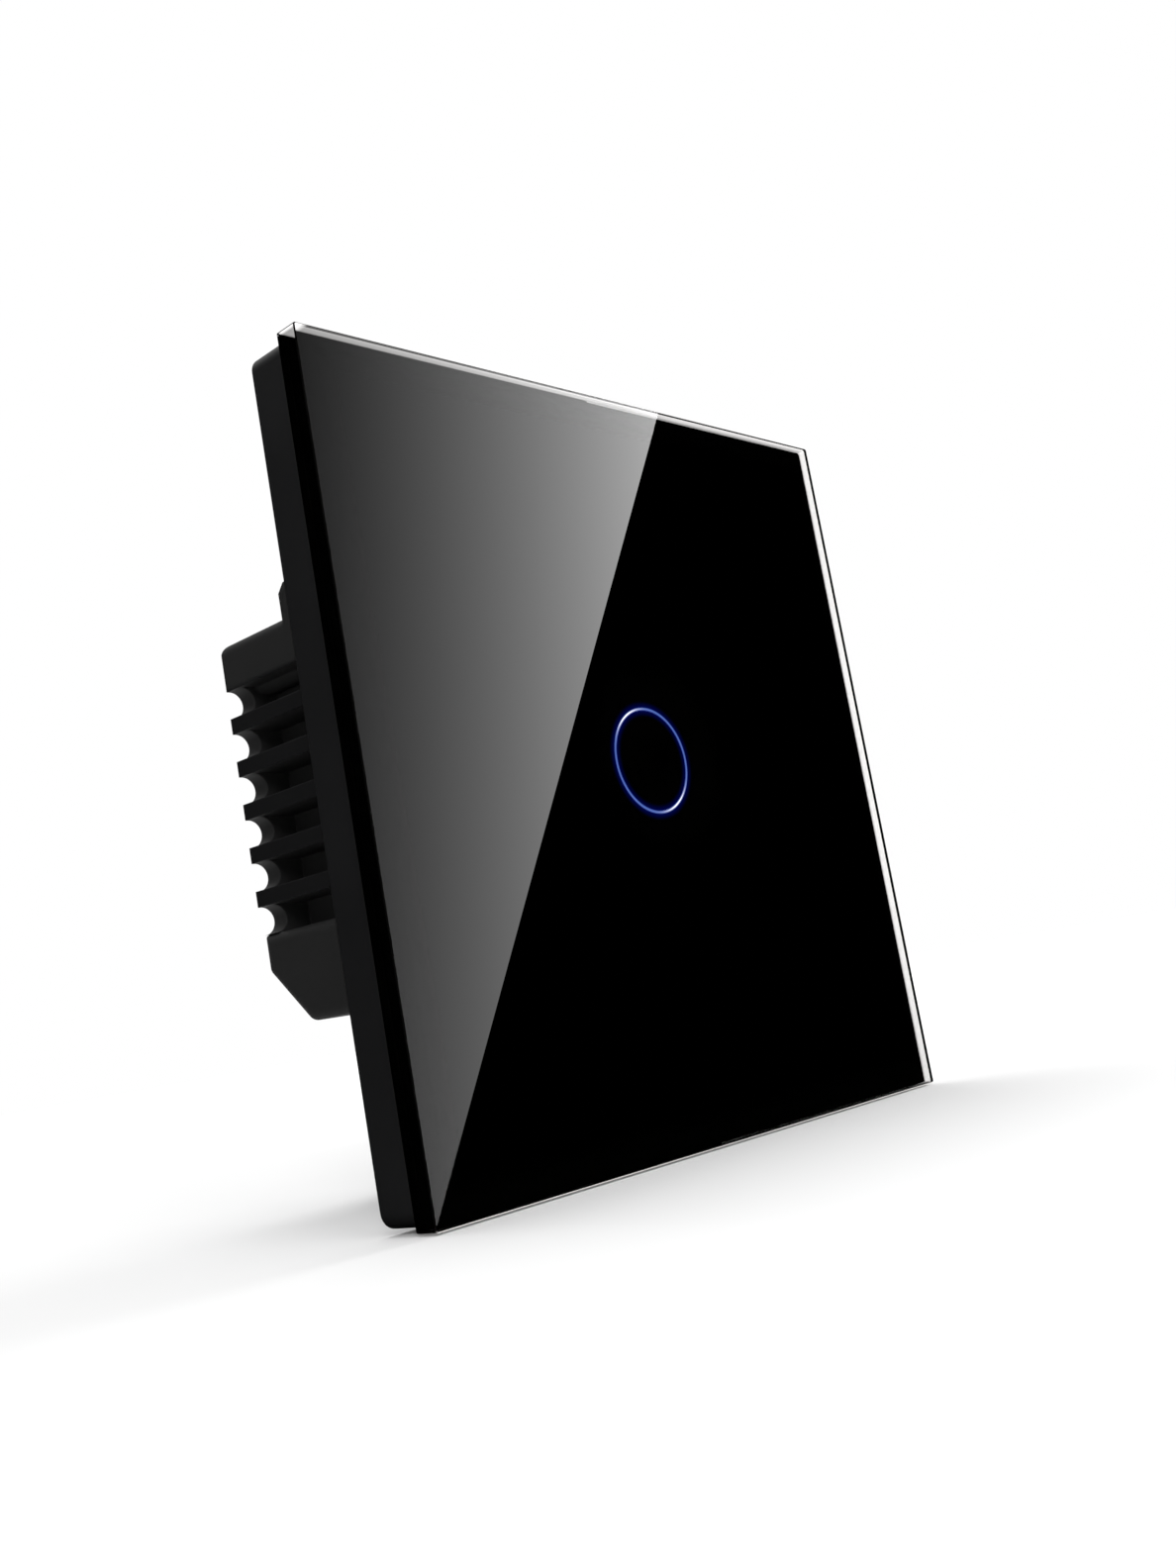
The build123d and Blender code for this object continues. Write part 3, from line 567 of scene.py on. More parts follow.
def top_painted_light(x, depth):
    """The painted light along the top and the foot: three bands, and a painted highlight at the
    corner on their left.
    """
    along = ((x + half_width) / (2 * half_width)).limited()
    band = levels(132, 151, (2 * along).limited())
    band = between(band, linear(182), ((x - painted_light_start) / painted_light_fade).limited())
    # The dark line is a painted reflection of the black print, and the next one is a painted bright
    # line.
    painted_dark_and_bright_lines = between(levels(65, 23, along), levels(140, 213, along), depth > line_depth)
    tone = between(painted_dark_and_bright_lines, band, depth > band_depth)
    # A painted highlight at the top's left corner.
    return between(tone, linear(225), ((corner_highlight_end - half_width - x) / corner_highlight_fade).limited())


def side_grain_and_painted_shade(finish, x, z, depth):
    """A dark line of painted reflection and a speckled band, painted darker towards the top. The
    left side is painted nearly black at its back edge, as painted shade.
    """
    # The speckle is painted darker towards the top, as painted shade.
    speckled = levels(228, 255, grain(finish, 0.3, 2)) * (0.98 - z / 365)
    tone = between(linear(12), speckled, depth > side_line_depth)
    # The back of the left side is painted nearly black, as painted shade.
    return between(tone, linear(4), (x < 0) * (depth > back_edge))


def rim_grain_and_painted_light(finish, x, z, depth, upward):
    """How pale the ground glass is, from 0 to 1, with its painted light and shade. upward is 1 on
    the top and the foot.
    """
    on_top = upward > x.size() / (2 * half_width)
    return between(side_grain_and_painted_shade(finish, x, z, depth), top_painted_light(x, depth), on_top)


# %% [markdown]
# The glass has four surfaces: the front, the back, the ground rim and the arris, which is the
# narrow chamfer along each edge. One mesh carries them all, so the material finds each by its place
# and by the way it faces. On a chamfer a normal has only 0.7 of its length on each axis.

# %% Surfaces of the glass
glass_index = 1.5
full_chamfer = 1.4


def front_and_back(finish, depth):
    """Clear glass. Its back lets rays straight through to the print that is fused on it."""
    body = finish.principled({"Base Color": (1, 1, 1, 1), "Roughness": 0.0, "IOR": glass_index,
                              "Transmission Weight": 1.0})
    through = finish.node("BsdfTransparent", None, {"Color": (1, 1, 1, 1)})
    return finish.mixed(body, through, depth > glass_thickness - face_hair)


def black_mirror(finish):
    """What plain black print looks like through a clear front."""
    return finish.principled({"Base Color": (0, 0, 0, 1), "Roughness": 0.0, "IOR": glass_index})


def ground_glass(finish, tone):
    """A surface that spreads the studio's light. tone says how much of it comes through."""
    unlit = finish.node("BsdfTranslucent", None, {"Color": (0, 0, 0, 1)})
    frosted = finish.node("BsdfTranslucent", None, {"Color": (1, 0.985, 0.975, 1)})
    return finish.mixed(unlit, frosted, tone)


def arris(finish, leftward, downward):
    """The chamfer, with light painted by the way it faces: dark grey shade above, a nearly white
    painted highlight below and nearly black shade on the left.
    """
    # Painted shade above and on the left, and a painted highlight below, by the way the chamfer
    # faces.
    tone = tinted(finish, colour(48, 43, 43), colour(244, 242, 240), downward)
    tone = tinted(finish, tone, colour(4, 4, 4), leftward)
    return finish.principled({"Base Color": tone, "Roughness": 0.9, "Specular IOR Level": 0.0})


# %% Glass finish
rim_margin, ring_margin, margin_fade = 1.6, 2.6, 2.5
flat_on = 0.97


def clear_glass():
    finish = Finish("clear glass")
    x, y, z = places(finish)
    depth = y - glass_front / mm
    facing = parts_of(finish, finish.node("TexCoord", output="Normal"))
    sideways, forward, upward = [way.size() for way in facing]
    # How far the chamfer faces left and down, which sets the arris's painted light and shade.
    leftward, downward = [(way * -full_chamfer).limited() for way in (facing[0], facing[2])]
    inside = finish.node("NewGeometry", output="Backfacing")

    off_rim = half_width - x.size().most(z.size())
    off_ring = ((x * x + z * z).root() - ring_middle).size()
    over_black = ((off_ring - ring_margin) / margin_fade).limited()
    over_black = over_black * ((off_rim - rim_margin) / margin_fade).limited()
    over_black = over_black * (depth < face_hair) * (1 - inside)
    flat = finish.mixed(front_and_back(finish, depth), black_mirror(finish), over_black)

    ground = ground_glass(finish, rim_grain_and_painted_light(finish, x, z, depth, upward))
    unprinted = (off_rim < half_width - print_edge) * (depth > back_edge)
    on_rim = inside * (forward < flat_on).most(unprinted)
    body_and_rim = finish.mixed(flat, ground, on_rim)
    on_arris = (sideways.most(forward).most(upward) < flat_on) * (1 - inside)
    return finish.surface(finish.mixed(body_and_rim, arris(finish, leftward, downward), on_arris))


# %% [markdown]
# ## The print and the ring that lights up
# The mask is black ink. Inside it a fine ring is left for a blue ink that light passes through. The
# ring glows blue with two painted white highlights, and a painted blue glow spreads into the
# black's edge. Both inks share one rule for the ring's place, so that their patterns meet.

# %% Print finishes
glint_angle = math.radians(121)
glint_narrowness = 8
halo_reach = 0.75
core_width = 0.32 * ring_line


def ring_places(finish):
    """How far a place is from the ring's line in millimetres, and how near it is to a painted
    highlight.
    """
    x, y, z = places(finish)
    radius = (x * x + z * z).root().most(0.01)
    towards = (math.cos(glint_angle) * x + math.sin(glint_angle) * z) / radius
    return (radius - ring_middle).size(), (towards * towards) ** glint_narrowness


def black_print():
    finish = Finish("black print")
    off_line = ring_places(finish)[0]
    # A painted blue glow on the black print near the ring.
    painted_halo = (1 - (off_line - ring_line / 2) / halo_reach).limited() ** 2
    return finish.surface(finish.principled({
        "Base Color": tinted(finish, colour(1, 1, 1), colour(3, 3, 3), grain(finish, 0.2)),
        "Roughness": 0.45 + 0.1 * grain(finish, 2), "Specular IOR Level": 0.0,
        "Emission Color": tinted(finish, (0, 0, 0, 1), (0.0, 0.002, 0.075, 1), painted_halo),
        "Emission Strength": 1.0}))


def blue_print():
    finish = Finish("blue print")
    off_line, painted_glint = ring_places(finish)
    core = (1.2 - off_line / core_width).limited()
    blue = tinted(finish, colour(6, 22, 88), colour(84, 114, 176), core)
    # Painted white highlights at two places on the ring.
    lit = tinted(finish, blue, (1.3, 1.3, 1.3, 1), painted_glint * core)
    return finish.surface(finish.principled({
        "Base Color": colour(30, 50, 140), "Roughness": 0.4 + 0.1 * grain(finish, 0.5),
        "Emission Color": lit, "Emission Strength": 1.0}))


# %% [markdown]
# ## Moulded plastic
# The box and the frame are injection-moulded in black. Spark-eroded moulds leave a fine, even grain
# a tenth of a millimetre across, which takes the shine off and makes the black look soft. The tone
# also wanders a little over a face. Both come from noise: a fine one as a bump, and a coarse one
# for the tone and the gloss.

# %% Moulded plastic finish
def moulded(name, tone, rough, cell=0.16, depth=0.006, specular=0.5, edge=0.0):
    """tone is a colour, or a function of the finish that gives one. edge is the radius in
    millimetres that the mould leaves on every edge, or a function where some are rounder."""
    finish = Finish(name)
    fine = grain(finish, cell, 3)
    broad = grain(finish, 9, 2)
    low, high = tone(finish) if callable(tone) else (shade(tone, 0.82), shade(tone, 1.18))
    base = tinted(finish, low, high, broad * 0.6 + fine * 0.4)
    radius = edge(finish) if callable(edge) else edge
    soft = finish.node("Bevel", {"samples": 6}, {"Radius": radius * mm}) if edge else None
    return finish.surface(finish.principled({
        "Base Color": base, "Roughness": rough - 0.06 + broad * 0.12,
        "Specular IOR Level": specular, "Normal": relief(finish, fine, depth, soft)}))


# %% [markdown]
# The box's tone changes over it. Its top block and foot are rounder and a little lighter, and the
# fins between them are flat and darker. Inside the grooves the tone is painted lighter, as painted
# light.

# %% The box's own tones and edges
fin_middle, fin_reach, block_fade = 3.3, 13.7, 0.4
flange_margin, behind_flange = 4.6, 5.0
box_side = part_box("rear_shell")[1].x / mm - flange_margin
skin = 0.1
fin_edge, block_edge = 0.25, 1.2
print("the box's half width, mm:", round(box_side, 2))


def box_edges(finish):
    """The radius on the box's edges: small on the fins, larger on the blocks above and below."""
    x, y, z = places(finish)
    return between(fin_edge, block_edge, (z - fin_middle).size() > fin_reach)


def box_tones(finish):
    """The two colours that the box's tone wanders between, for fins, blocks and the grooves'
    painted light.
    """
    x, y, z = places(finish)
    block = (((z - fin_middle).size() - fin_reach) / block_fade).limited()
    # Inside the grooves the tone is painted lighter, as painted light.
    painted_groove_light = ((box_side - skin - x.size()) / skin).limited() * (1 - block) * (y > behind_flange)
    tones = []
    for fins, blocks, grooves in ((15, 30, 36), (19, 34, 42)):
        tone = tinted(finish, colour(fins, fins, fins + 1), colour(blocks, blocks, blocks), block)
        tones.append(tinted(finish, tone, colour(grooves, grooves, grooves), painted_groove_light))
    return tones


# %% [markdown]
# ## Metals
# Rolled sheet has faint scratches along the way it was rolled, plated screws are smoother, and iron
# in a relay is dull. One rule covers them: noise stretched along one axis for the scratches, and
# coarse noise for the stains of handling.

# %% Metal finishes
def metal(name, tone, rough, streak=(1, 1, 12), cell=0.5, depth=0.002):
    finish = Finish(name)
    scratch = grain(finish, cell, 3, along=streak)
    stain = grain(finish, 4, 3)
    base = tinted(finish, shade(tone, 0.8), tone, scratch * 0.5 + stain * 0.5)
    return finish.surface(finish.principled({
        "Base Color": base, "Metallic": 1.0,
        "Roughness": rough - 0.08 + stain * 0.16 + scratch * 0.05,
        "Normal": relief(finish, scratch, depth)}))


def galvanised():
    """Zinc on sheet steel: crystals a few millimetres across, each with its own grey."""
    finish = Finish("galvanised steel")
    crystal = finish.node("SeparateColor", None, {0: cells(finish, 1.7, "Color")})
    scratch = grain(finish, 0.4, 3, along=(14, 1, 1))
    share = crystal * 0.6 + scratch * 0.4
    return finish.surface(finish.principled({
        "Base Color": tinted(finish, colour(176, 179, 182), colour(206, 208, 210), share),
        "Metallic": 1.0, "Roughness": 0.34 + crystal * 0.06 + scratch * 0.05,
        "Normal": relief(finish, scratch, 0.002)}))


# %% [markdown]
# ## What is inside
# The inner pieces show when the panel is pulled off, and in an exploded view. Boards have green
# lacquer over copper tracks, foams have open pores, the coils are lacquered copper wire, and the
# ring's light guide is milky, so that single lamps look like one line.

# %% Boards, foams and windings
def solder_mask():
    """Green lacquer. Tracks under it stand a hair proud and look lighter."""
    finish = Finish("green board")
    x, y, z = places(finish)
    wander = 4 * grain(finish, 6, 0)
    lines = ((x + wander).wave(1.9) > 0.86).most((z + wander).wave(2.3) > 0.88)
    tracks = lines * (grain(finish, 11, 1) > 0.5)
    share = tracks * 0.8 + grain(finish, 0.3) * 0.15
    return finish.surface(finish.principled({
        "Base Color": tinted(finish, colour(10, 62, 40), colour(28, 104, 62), share),
        "Roughness": 0.32 + 0.1 * grain(finish, 3), "Coat Weight": 0.4,
        "Normal": relief(finish, tracks, 0.03)}))


def foam(name, tone, pore):
    finish = Finish(name)
    pore_and_painted_shade = cells(finish, pore)
    # The pores are painted darker, as painted shade, and the same pattern sinks them as a bump.
    base = tinted(finish, shade(tone, 0.35), shade(tone, 1.2), pore_and_painted_shade)
    return finish.surface(finish.principled({
        "Base Color": base, "Roughness": 0.95, "Specular IOR Level": 0.15,
        "Normal": relief(finish, pore_and_painted_shade, 0.08)}))


def enamel(name, tone):
    """Lacquered copper wire."""
    finish = Finish(name)
    wander = grain(finish, 0.7, 2, along=(1, 6, 1))
    base = tinted(finish, shade(tone, 0.7), tone, wander)
    return finish.surface(finish.principled({
        "Base Color": base, "Metallic": 0.85, "Roughness": 0.24 + 0.12 * wander,
        "Coat Weight": 0.6}))


def frosted_guide():
    """Milky plastic that spreads the lamps' light round the ring."""
    finish = Finish("light guide")
    haze = grain(finish, 0.4, 3)
    base = tinted(finish, colour(214, 220, 224), colour(245, 248, 250), haze)
    return finish.surface(finish.principled({
        "Base Color": base, "Roughness": 0.45 + 0.1 * haze, "Transmission Weight": 0.35,
        "Normal": relief(finish, haze, 0.01)}))


# %% [markdown]
# Many components are one solid with their leads, so their finish has to tell body from metal. Each
# is given a rule on x, y and z, in millimetres, that is 1 where the metal is bare. A second rule
# marks what is printed or set into the body: a diode's band, a lamp's phosphor, a chip's dimple.

# %% Components with bare metal
tin, tin_roughness = colour(206, 207, 204), 0.3


def mounted(name, tone, rough, bare, mark=None, mark_tone=tin, glow=0.0):
    """bare and mark are rules that give 1 or 0 for x, y and z."""
    finish = Finish(name)
    spots = places(finish)
    metal_here = bare(*spots).limited()
    fine = grain(finish, 0.12, 3)
    broad = grain(finish, 1.5, 2)
    body = tinted(finish, shade(tone, 0.8), shade(tone, 1.15), fine * 0.5 + broad * 0.5)
    marked = mark(*spots).limited() if mark else None
    if mark:
        body = tinted(finish, body, mark_tone, marked)
    bright = tinted(finish, shade(tin, 0.75), tin, fine)
    sockets = {
        "Base Color": tinted(finish, body, bright, metal_here), "Metallic": metal_here,
        "Roughness": between(rough, tin_roughness, metal_here) + 0.08 * broad,
        "Normal": relief(finish, fine, 0.006)}
    if glow:
        sockets["Emission Color"] = tinted(finish, (0, 0, 0, 1), (0.55, 0.7, 1.0, 1), marked)
        sockets["Emission Strength"] = glow
    return finish.surface(finish.principled(sockets))


# %% [markdown]
# Most of those rules are alike. A chip, a resistor or a fuse is bare past its body's ends, and
# where several stand in a row, the distance is taken to the nearest one. Upright components are
# bare between the board and their bodies.

# %% Rules for bare metal and marks
chip_black, dimple_black = colour(30, 30, 32), colour(12, 12, 12)
diode_pitch = 6.0
can_x, can_z, can_rim = 9.0, 3.4, 3.5
can_leads, stripe_end, sleeve_end, score_start = 10.1, 22.6, 22.9, 23.0
stripe_side, score_half = 3.0, 0.12
led_middle, led_radial, led_end, led_lens = 5.55, 0.27, 0.6, 0.45


def past(axis, middle, half, pitch=None):
    """Bare further than half from the middle on this axis, or from the nearest of a row."""
    def rule(*place):
        off = place["xyz".index(axis)] - middle
        return (off.wrapped(pitch) if pitch else off).size() > half
    return rule


def below(level):
    """Bare between the board and this depth behind the wall's plane."""
    return lambda x, y, z: y < level


def disc(at_x, at_z, radius):
    """A round mark about a place on the board, such as the dimple at a chip's first leg."""
    return lambda x, y, z: ((x - at_x) * (x - at_x) + (z - at_z) * (z - at_z)).root() < radius


def diode_band(x, y, z):
    return (x + 11.2).wrapped(diode_pitch).size() < 0.35


def can_metal(x, y, z):
    """The can is bare at its leads and on its end, inside the sleeve's rim."""
    return (y < can_leads).most((y > sleeve_end) * disc(can_x, can_z, can_rim)(x, y, z))


def can_mark(x, y, z):
    """The score across the can's end takes the mark's pale tone, though on the bare end the tin
    covers it, and a pale stripe runs down the sleeve.
    """
    stripe = (x - can_x > stripe_side) * (y < stripe_end)
    score = ((x - can_x).size() < score_half).most((z - can_z).size() < score_half)
    return stripe.most(score * (y > score_start))


def led_metal(x, y, z):
    """The lamps stand on the two axes, and each is bare at its ends across its axis."""
    return x.size().least(z.size()) > led_end


def led_phosphor(x, y, z):
    outwards, across = x.size().most(z.size()), x.size().least(z.size())
    return ((outwards - led_middle).size() < led_radial) * (across < led_lens)


# %% Table of components
mounted_finishes = {
    "touch_chip": mounted("touch chip", chip_black, 0.6, past("z", -6, 1.96),
                          disc(-12.2, -7.2, 0.35), dimple_black),
    "control_chip": mounted("control chip", chip_black, 0.6, past("z", 4, 1.96),
                            disc(-9.8, 2.8, 0.3), dimple_black),
    "switching_transistor": mounted("transistor", colour(28, 28, 30), 0.6, past("z", 4, 3.06)),
    "board_resistors": mounted("chip resistors", colour(24, 24, 26), 0.4,
                               past("x", 1.3, 0.52, 2.6)),
    "board_capacitors": mounted("chip capacitors", colour(176, 140, 98), 0.45,
                                past("x", 1.7, 0.52, 3.4)),
    "rectifier_diodes": mounted("diodes", colour(26, 26, 28), 0.5,
                                past("x", -12.5, 2.11, diode_pitch), diode_band),
    "fuse": mounted("fuse body", colour(206, 184, 140), 0.5, past("x", -8, 2.4)),
    "film_capacitor": mounted("film capacitor", colour(226, 170, 44), 0.35, below(10.12)),
    "varistor": mounted("varistor", colour(36, 66, 156), 0.25, below(10.2)),
    "electrolytic_capacitor": mounted("capacitor can", colour(26, 26, 34), 0.3,
                                      can_metal, can_mark, colour(150, 152, 156)),
    "indicator_leds": mounted("lamps", colour(232, 232, 226), 0.4,
                              led_metal, led_phosphor, colour(236, 208, 96), glow=1.5),
}
print("components with their own finish:", len(mounted_finishes))

# %% [markdown]
# ## Every node gets its finish
# The record names a material slot for each node, so one table from slot to material dresses the
# whole switch, and nothing is missed.

# %% Table of finishes
finishes = {
    "clear_glass": clear_glass(),
    "black_print": black_print(),
    "blue_print": blue_print(),
    "black_tape": foam("black tape", colour(22, 22, 23), 0.25),
    "black_plastic": moulded("black plastic", colour(19, 19, 20), 0.5, specular=0.2, edge=0.3),
    "box_plastic": moulded("box plastic", box_tones, 0.6, specular=0.12, edge=box_edges),
    "cover_plastic": moulded("cover plastic", colour(44, 45, 46), 0.6, specular=0.3),
    "zinc_steel": galvanised(),
    "spring_steel": metal("spring steel", colour(196, 196, 192), 0.3),
    "screw_steel": metal("zinc plated screws", colour(205, 206, 204), 0.32, streak=(4, 1, 4)),
    "black_screw": metal("blackened screws", colour(58, 58, 60), 0.42, streak=(4, 1, 4)),
    "foam": foam("gasket foam", colour(40, 40, 41), 0.5),
    "conductive_foam": foam("conductive foam", colour(92, 92, 94), 0.35),
    "light_guide": frosted_guide(),
    "board_green": solder_mask(),
    "copper": metal("copper", colour(214, 140, 98), 0.3),
    "nylon_black": moulded("black nylon", colour(30, 30, 31), 0.5, cell=0.3),
    "gold_pin": metal("gilt pins", colour(232, 190, 104), 0.25, streak=(1, 10, 1)),
    "nylon_grey": moulded("grey nylon", colour(150, 153, 156), 0.5, cell=0.3),
    "brass": metal("brass", colour(214, 178, 96), 0.3, streak=(1, 8, 1)),
    "relay_case": moulded("relay case", colour(28, 66, 140), 0.4, cell=0.3),
    "bobbin_white": moulded("bobbin", colour(226, 224, 214), 0.5, cell=0.3),
    "enamel_wire": enamel("enamelled wire", colour(200, 108, 56)),
    "soft_iron": metal("relay iron", colour(168, 168, 166), 0.45),
    "silver_contact": metal("silver", colour(226, 226, 222), 0.22),
    "ferrite": moulded("ferrite", colour(62, 62, 66), 0.6, cell=0.12, depth=0.012),
}

# %% Dress the nodes
slots = {piece["node"]: piece["material_slot"] for piece in frame["record"]["subparts"]}
finish_of = {name: finishes.get(slot) for name, slot in slots.items()}
finish_of.update(mounted_finishes)
finish_of["rear_shell"] = finishes["box_plastic"]
for name, made in nodes.items():
    made.data.materials.clear()
    made.data.materials.append(finish_of[name])
print("dressed", len(nodes), "nodes with", len(set(finish_of.values())), "finishes")

# %% [markdown]
# ## Rules for wire and thread
# A coil and a screw thread follow one rule: a line that climbs round an axis, with a profile drawn
# along it. CAD gave both as plain cylinders. The rule below takes such a solid, draws its outer
# wall in to the root of the thread, and lays the helix over it. It is a Geometry Nodes tree with a
# named input for each size, so one tree serves coils and screws alike.

# %% A tree with named inputs
class Rule(Nodes):
    """A Geometry Nodes tree. sizes are its number inputs, in metres, and counts its whole ones."""

    def __init__(self, name, sizes, counts=()):
        super().__init__(bpy.data.node_groups.new(name, "GeometryNodeTree"))
        kinds = [("Geometry", "Geometry"), ("Material", "Material")]
        kinds += [(size, "Float") for size in sizes] + [(count, "Int") for count in counts]
        for label, kind in kinds:
            self.tree.interface.new_socket(label, in_out="INPUT", socket_type="NodeSocket" + kind)
        self.tree.interface.new_socket("Geometry", in_out="OUTPUT",
                                       socket_type="NodeSocketGeometry")
        self.entry = self.tree.nodes.new("NodeGroupInput")

    def given(self, name):
        return Value(self.tree, self.entry.outputs[name])

    def vector(self, x, y, z):
        return self.node("CombineXYZ", None, {"X": x, "Y": y, "Z": z})

    def ends_with(self, shape):
        """Makes instances real, sets the material and closes the tree."""
        real = self.node("GeometryNodeRealizeInstances", None, {"Geometry": shape})
        dressed = self.node("GeometryNodeSetMaterial", None,
                            {"Geometry": real, "Material": self.given("Material")})
        out = self.tree.nodes.new("NodeGroupOutput")
        self.tree.links.new(dressed.socket, out.inputs["Geometry"])

    def grow(self, name, start, material, values):
        """Runs the rule on a mesh. The result is a plain mesh in an object of this name."""
        made = bpy.data.objects.new(name, start)
        bpy.context.scene.collection.objects.link(made)
        modifier = made.modifiers.new("rule", "NODES")
        modifier.node_group = self.tree
        for item in self.tree.interface.items_tree:
            if item.in_out == "INPUT" and item.name in values:
                modifier[item.identifier] = values[item.name]
            elif item.in_out == "INPUT" and item.name == "Material":
                modifier[item.identifier] = material
        seen = made.evaluated_get(bpy.context.evaluated_depsgraph_get())
        plain = bpy.data.meshes.new_from_object(seen)
        made.modifiers.clear()
        made.data = plain
        print(name, "has", len(plain.polygons), "faces")
        return made


# %% [markdown]
# First the rule finds the axes. A grid of two points by two spans them. Where a spread is zero its
# points fall together, so that one axis, a pair or all four are left.

# %% The helix rule and its axes
helix_sizes = ["Spread X", "Spread Z", "Centre X", "Centre Z", "Start", "Length", "Crest", "Root",
               "Turns", "Wire"]
helix = Rule("helix on an axis", helix_sizes, ["Sides", "Steps"])
sizes = {name: helix.given(name) for name in helix_sizes}
grid = helix.node("GeometryNodeMeshGrid", None, {
    "Size X": sizes["Spread X"], "Size Y": sizes["Spread Z"], "Vertices X": 2, "Vertices Y": 2})
grid = helix.node("GeometryNodeTransform", None, {
    "Geometry": grid, "Rotation": (math.pi / 2, 0, 0),
    "Translation": helix.vector(sizes["Centre X"], sizes["Start"], sizes["Centre Z"])})
axes = helix.node("GeometryNodeMergeByDistance", None, {"Geometry": grid, "Distance": 0.1 * mm})

# %% [markdown]
# Then it draws the outer wall in. A point belongs to that wall if it is the crest's radius away
# from the nearest axis, to within a hair, and between the thread's two ends. It moves towards the
# axis until it lies at the root.

# %% The wall drawn in to the root
hair = 0.02 * mm
x, y, z = parts_of(helix, helix.node("GeometryNodeInputPosition"))
level = helix.vector(x, sizes["Start"], z)
to_axis, off_axis = [
    helix.node("GeometryNodeProximity", {"target_element": "POINTS"},
               {"Geometry": axes, "Sample Position": level}, output=output)
    for output in ("Position", "Distance")]
on_wall = (off_axis > sizes["Crest"] - hair) * (off_axis < sizes["Crest"] + hair)
on_wall = on_wall * (y > sizes["Start"] - hair) * (y < sizes["Start"] + sizes["Length"] + hair)
inward = helix.node("VectorMath", {"operation": "SUBTRACT"}, {0: to_axis, 1: level})
drawn_in = helix.node("VectorMath", {"operation": "SCALE"},
                      {0: inward, "Scale": 1 - sizes["Root"] / sizes["Crest"]})
body = helix.node("GeometryNodeSetPosition", None, {
    "Geometry": helix.given("Geometry"), "Selection": on_wall, "Offset": drawn_in})

# %% [markdown]
# Last it lays the wire: a spiral whose radius doesn't change, with a circle as its profile. A
# circle of four sides gives a thread's sharp crest. The wire touches the crest's radius and both
# ends from inside, so the piece doesn't grow, and each axis gets a copy.

# %% The wire on each axis
line_radius = sizes["Crest"] - sizes["Wire"]
line = helix.node("GeometryNodeCurveSpiral", None, {
    "Resolution": helix.given("Steps"), "Rotations": sizes["Turns"],
    "Start Radius": line_radius, "End Radius": line_radius,
    "Height": sizes["Length"] - sizes["Wire"] * 2})
line = helix.node("GeometryNodeSetCurveNormal", {"mode": "Z_UP"}, {"Curve": line})
profile = helix.node("GeometryNodeCurvePrimitiveCircle", None,
                     {"Resolution": helix.given("Sides"), "Radius": sizes["Wire"]})
wire = helix.node("GeometryNodeCurveToMesh", None,
                  {"Curve": line, "Profile Curve": profile, "Fill Caps": True})
wire = helix.node("GeometryNodeTransform", None, {
    "Geometry": wire, "Rotation": (-math.pi / 2, 0, 0),
    "Translation": helix.vector(0, sizes["Wire"], 0)})
laid = helix.node("GeometryNodeInstanceOnPoints", None, {"Points": axes, "Instance": wire})
helix.ends_with(helix.node("GeometryNodeJoinGeometry", None, {"Geometry": [body, laid]}))

# %% [markdown]
# A coil or screw starts as a copy of its CAD solid and then replaces it. Sizes are in millimetres,
# and a head is left out of the thread, at the piece's front or, on the terminal screws, at its
# back.

# %% Coils and screws
steps_a_turn = 28


def merged_copy(node):
    """A CAD node's mesh is loose triangles. This is a copy with its corners joined."""
    copy = nodes[node].data.copy()
    copy.materials.clear()
    work = bmesh.new()
    work.from_mesh(copy)
    bmesh.ops.remove_doubles(work, verts=work.verts, dist=0.001 * mm)
    work.to_mesh(copy)
    work.free()
    return copy


def helical(node, crest, root, pitch, wire, sides, head=0.0, head_height=0.0, head_last=False):
    """Replaces a node by a copy with a helix. head is the radius of its head, if it has one."""
    low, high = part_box(node)
    rim = max(head, crest)
    start = low.y + (0 if head_last else head_height) * mm
    length = high.y - low.y - head_height * mm
    made = helix.grow(node + "_wound", merged_copy(node), finish_of[node], {
        "Spread X": high.x - low.x - 2 * rim * mm, "Spread Z": high.z - low.z - 2 * rim * mm,
        "Centre X": (low.x + high.x) / 2, "Centre Z": (low.z + high.z) / 2,
        "Start": start, "Length": length, "Crest": crest * mm, "Root": root * mm,
        "Turns": (length / mm - 2 * wire) / pitch, "Wire": wire * mm,
        "Sides": sides, "Steps": steps_a_turn})
    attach(made, body_of(nodes[node])[0])
    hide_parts(node)


helical("relay_winding", crest=3.45, root=3.25, pitch=0.25, wire=0.12, sides=8)
helical("choke_winding", crest=2.10, root=1.85, pitch=0.31, wire=0.15, sides=8)
for index in (1, 2, 3):
    helical(f"terminal_screw_{index}", crest=1.45, root=1.15, pitch=0.6, wire=0.3, sides=4,
            head=2.5, head_height=1.8, head_last=True)
helical("housing_screws", crest=1.05, root=0.78, pitch=0.6, wire=0.27, sides=4,
        head=1.8, head_height=1.0)
helical("board_screws", crest=0.95, root=0.70, pitch=0.5, wire=0.25, sides=4,
        head=1.7, head_height=1.1)

# %% [markdown]
# ## Solder
# A second rule sets a joint on each lead that comes through the power board. A joint is a cone
# whose side is drawn in, as solder does when it wets a wire, and no two are quite the same size.
# The places of the leads are the points of a mesh with nothing but corners.

# %% The solder rule
waist, smallest = 0.9, 0.88

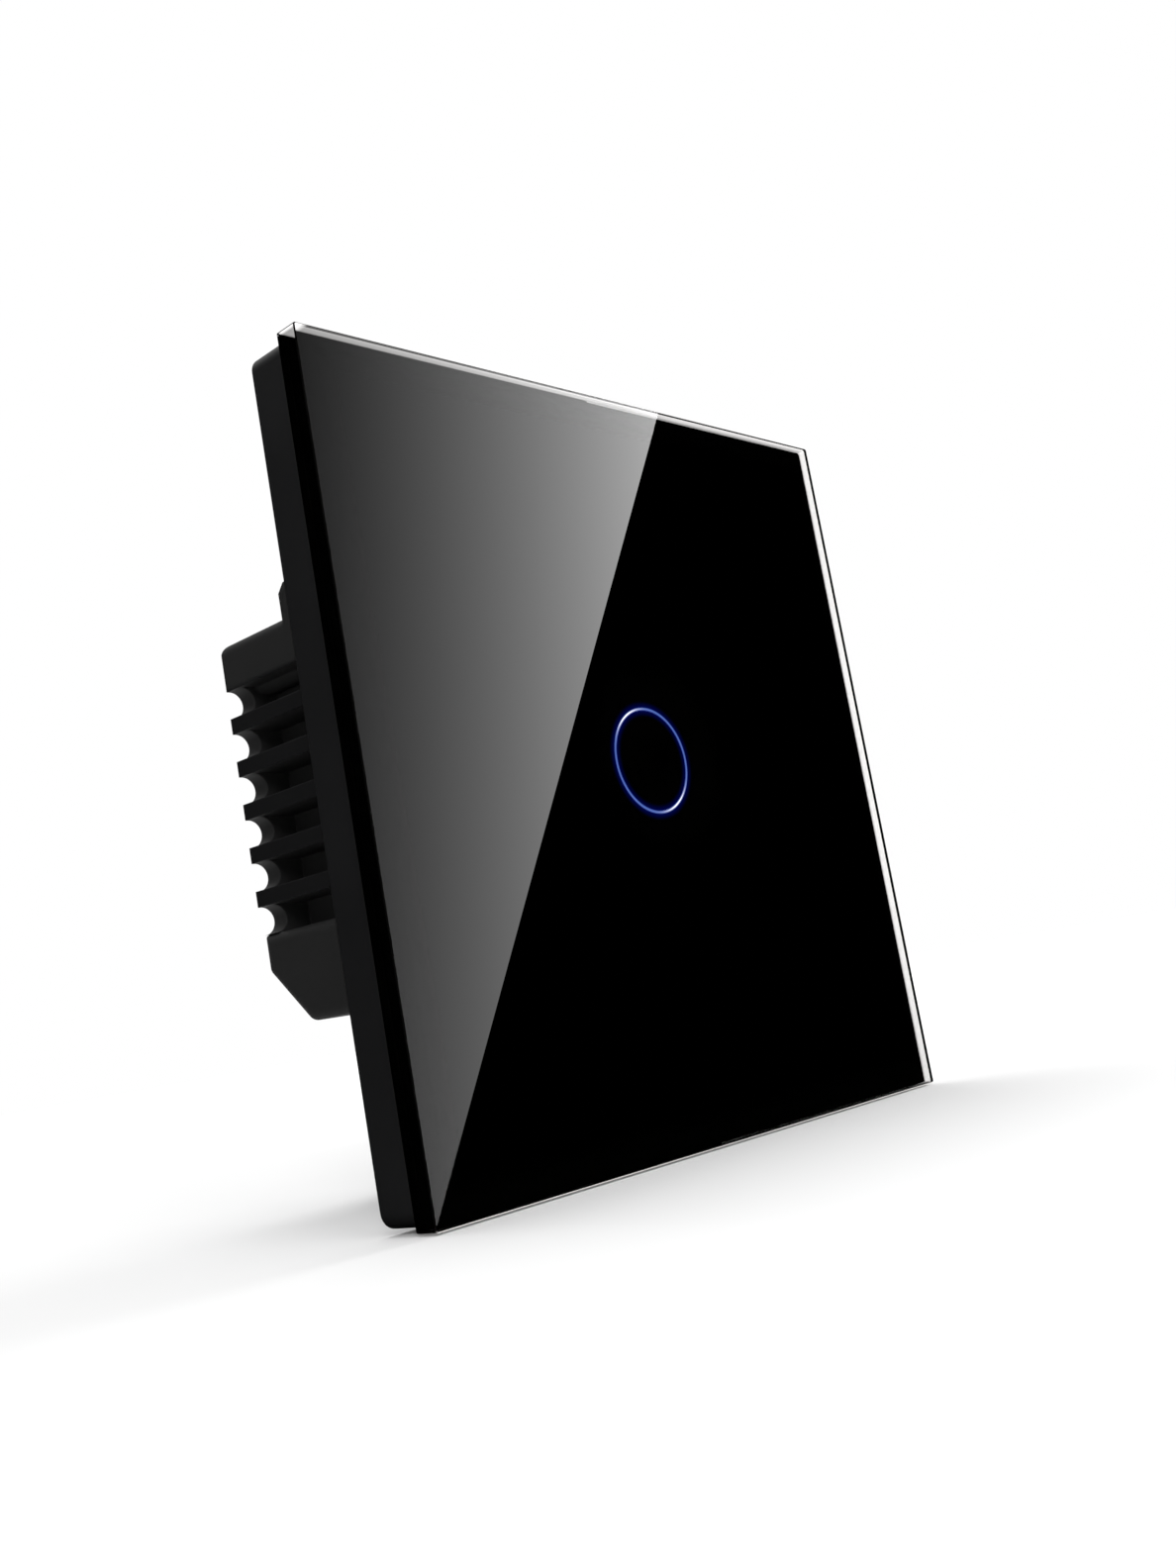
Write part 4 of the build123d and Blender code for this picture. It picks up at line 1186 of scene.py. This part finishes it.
joint = Rule("solder on leads", ["Foot", "Top", "Height", "Way"], ["Seed"])
cone = joint.node("GeometryNodeMeshCone", None, {
    "Vertices": 18, "Side Segments": 6, "Radius Top": joint.given("Top"),
    "Radius Bottom": joint.given("Foot"), "Depth": joint.given("Height")})
x, y, z = parts_of(joint, joint.node("GeometryNodeInputPosition"))
share = z / joint.given("Height")
narrow = 1 - waist * share * (1 - share)
cone = joint.node("GeometryNodeSetPosition", None, {
    "Geometry": cone, "Position": joint.vector(x * narrow, y * narrow, z)})
cone = joint.node("GeometryNodeTransform", None, {
    "Geometry": cone, "Rotation": joint.vector(joint.given("Way"), 0, 0)})
spread = joint.node("FunctionNodeRandomValue", {"data_type": "FLOAT"},
                    {2: smallest, 3: 1.0, "Seed": joint.given("Seed")}, output=1)
joint.ends_with(joint.node("GeometryNodeInstanceOnPoints", None, {
    "Points": joint.given("Geometry"), "Instance": cone,
    "Scale": joint.vector(spread, 1, spread)}))

# %% [markdown]
# The leads' places are x and z in millimetres. Joints of the components and terminals are on the
# board's front, and those of the plug on its back, so its cones point the other way.

# %% Solder joints on the power board
joint_height, joint_seed = 0.6, 4
solder = metal("solder", colour(200, 202, 200), 0.3, cell=0.8, depth=0.01)
board_front, board_back = [corner.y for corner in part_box("power_board")]
component_leads = [
    (6.2, 11.3), (15.0, 11.3), (-15.2, -3.4), (-9.5, -3.4), (-3.5, -3.4), (2.5, -3.4), (8.2, -3.4),
    (7.15, 17.6), (10.05, 17.6), (-14.25, 5.35), (-14.25, 12.65), (1.25, 5.35), (1.25, 12.65)]
terminal_tails = [(-10, -6.05), (0, -6.05), (10, -6.05)]
plug_pins = [(-6.35, 15), (-3.81, 15), (-1.27, 15), (1.27, 15), (3.81, 15), (6.35, 15)]
for name, leads, face, foot, top, way in (
        ("component_solder", component_leads, board_front, 0.75, 0.42, 1),
        ("terminal_solder", terminal_tails, board_front, 1.25, 0.85, 1),
        ("plug_solder", plug_pins, board_back, 0.7, 0.42, -1)):
    start = bpy.data.meshes.new(name)
    start.from_pydata([(x * mm, face, z * mm) for x, z in leads], [], [])
    made = joint.grow(name, start, solder, {
        "Foot": foot * mm, "Top": top * mm, "Height": joint_height * mm,
        "Way": way * math.pi / 2, "Seed": joint_seed})
    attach(made, "module")
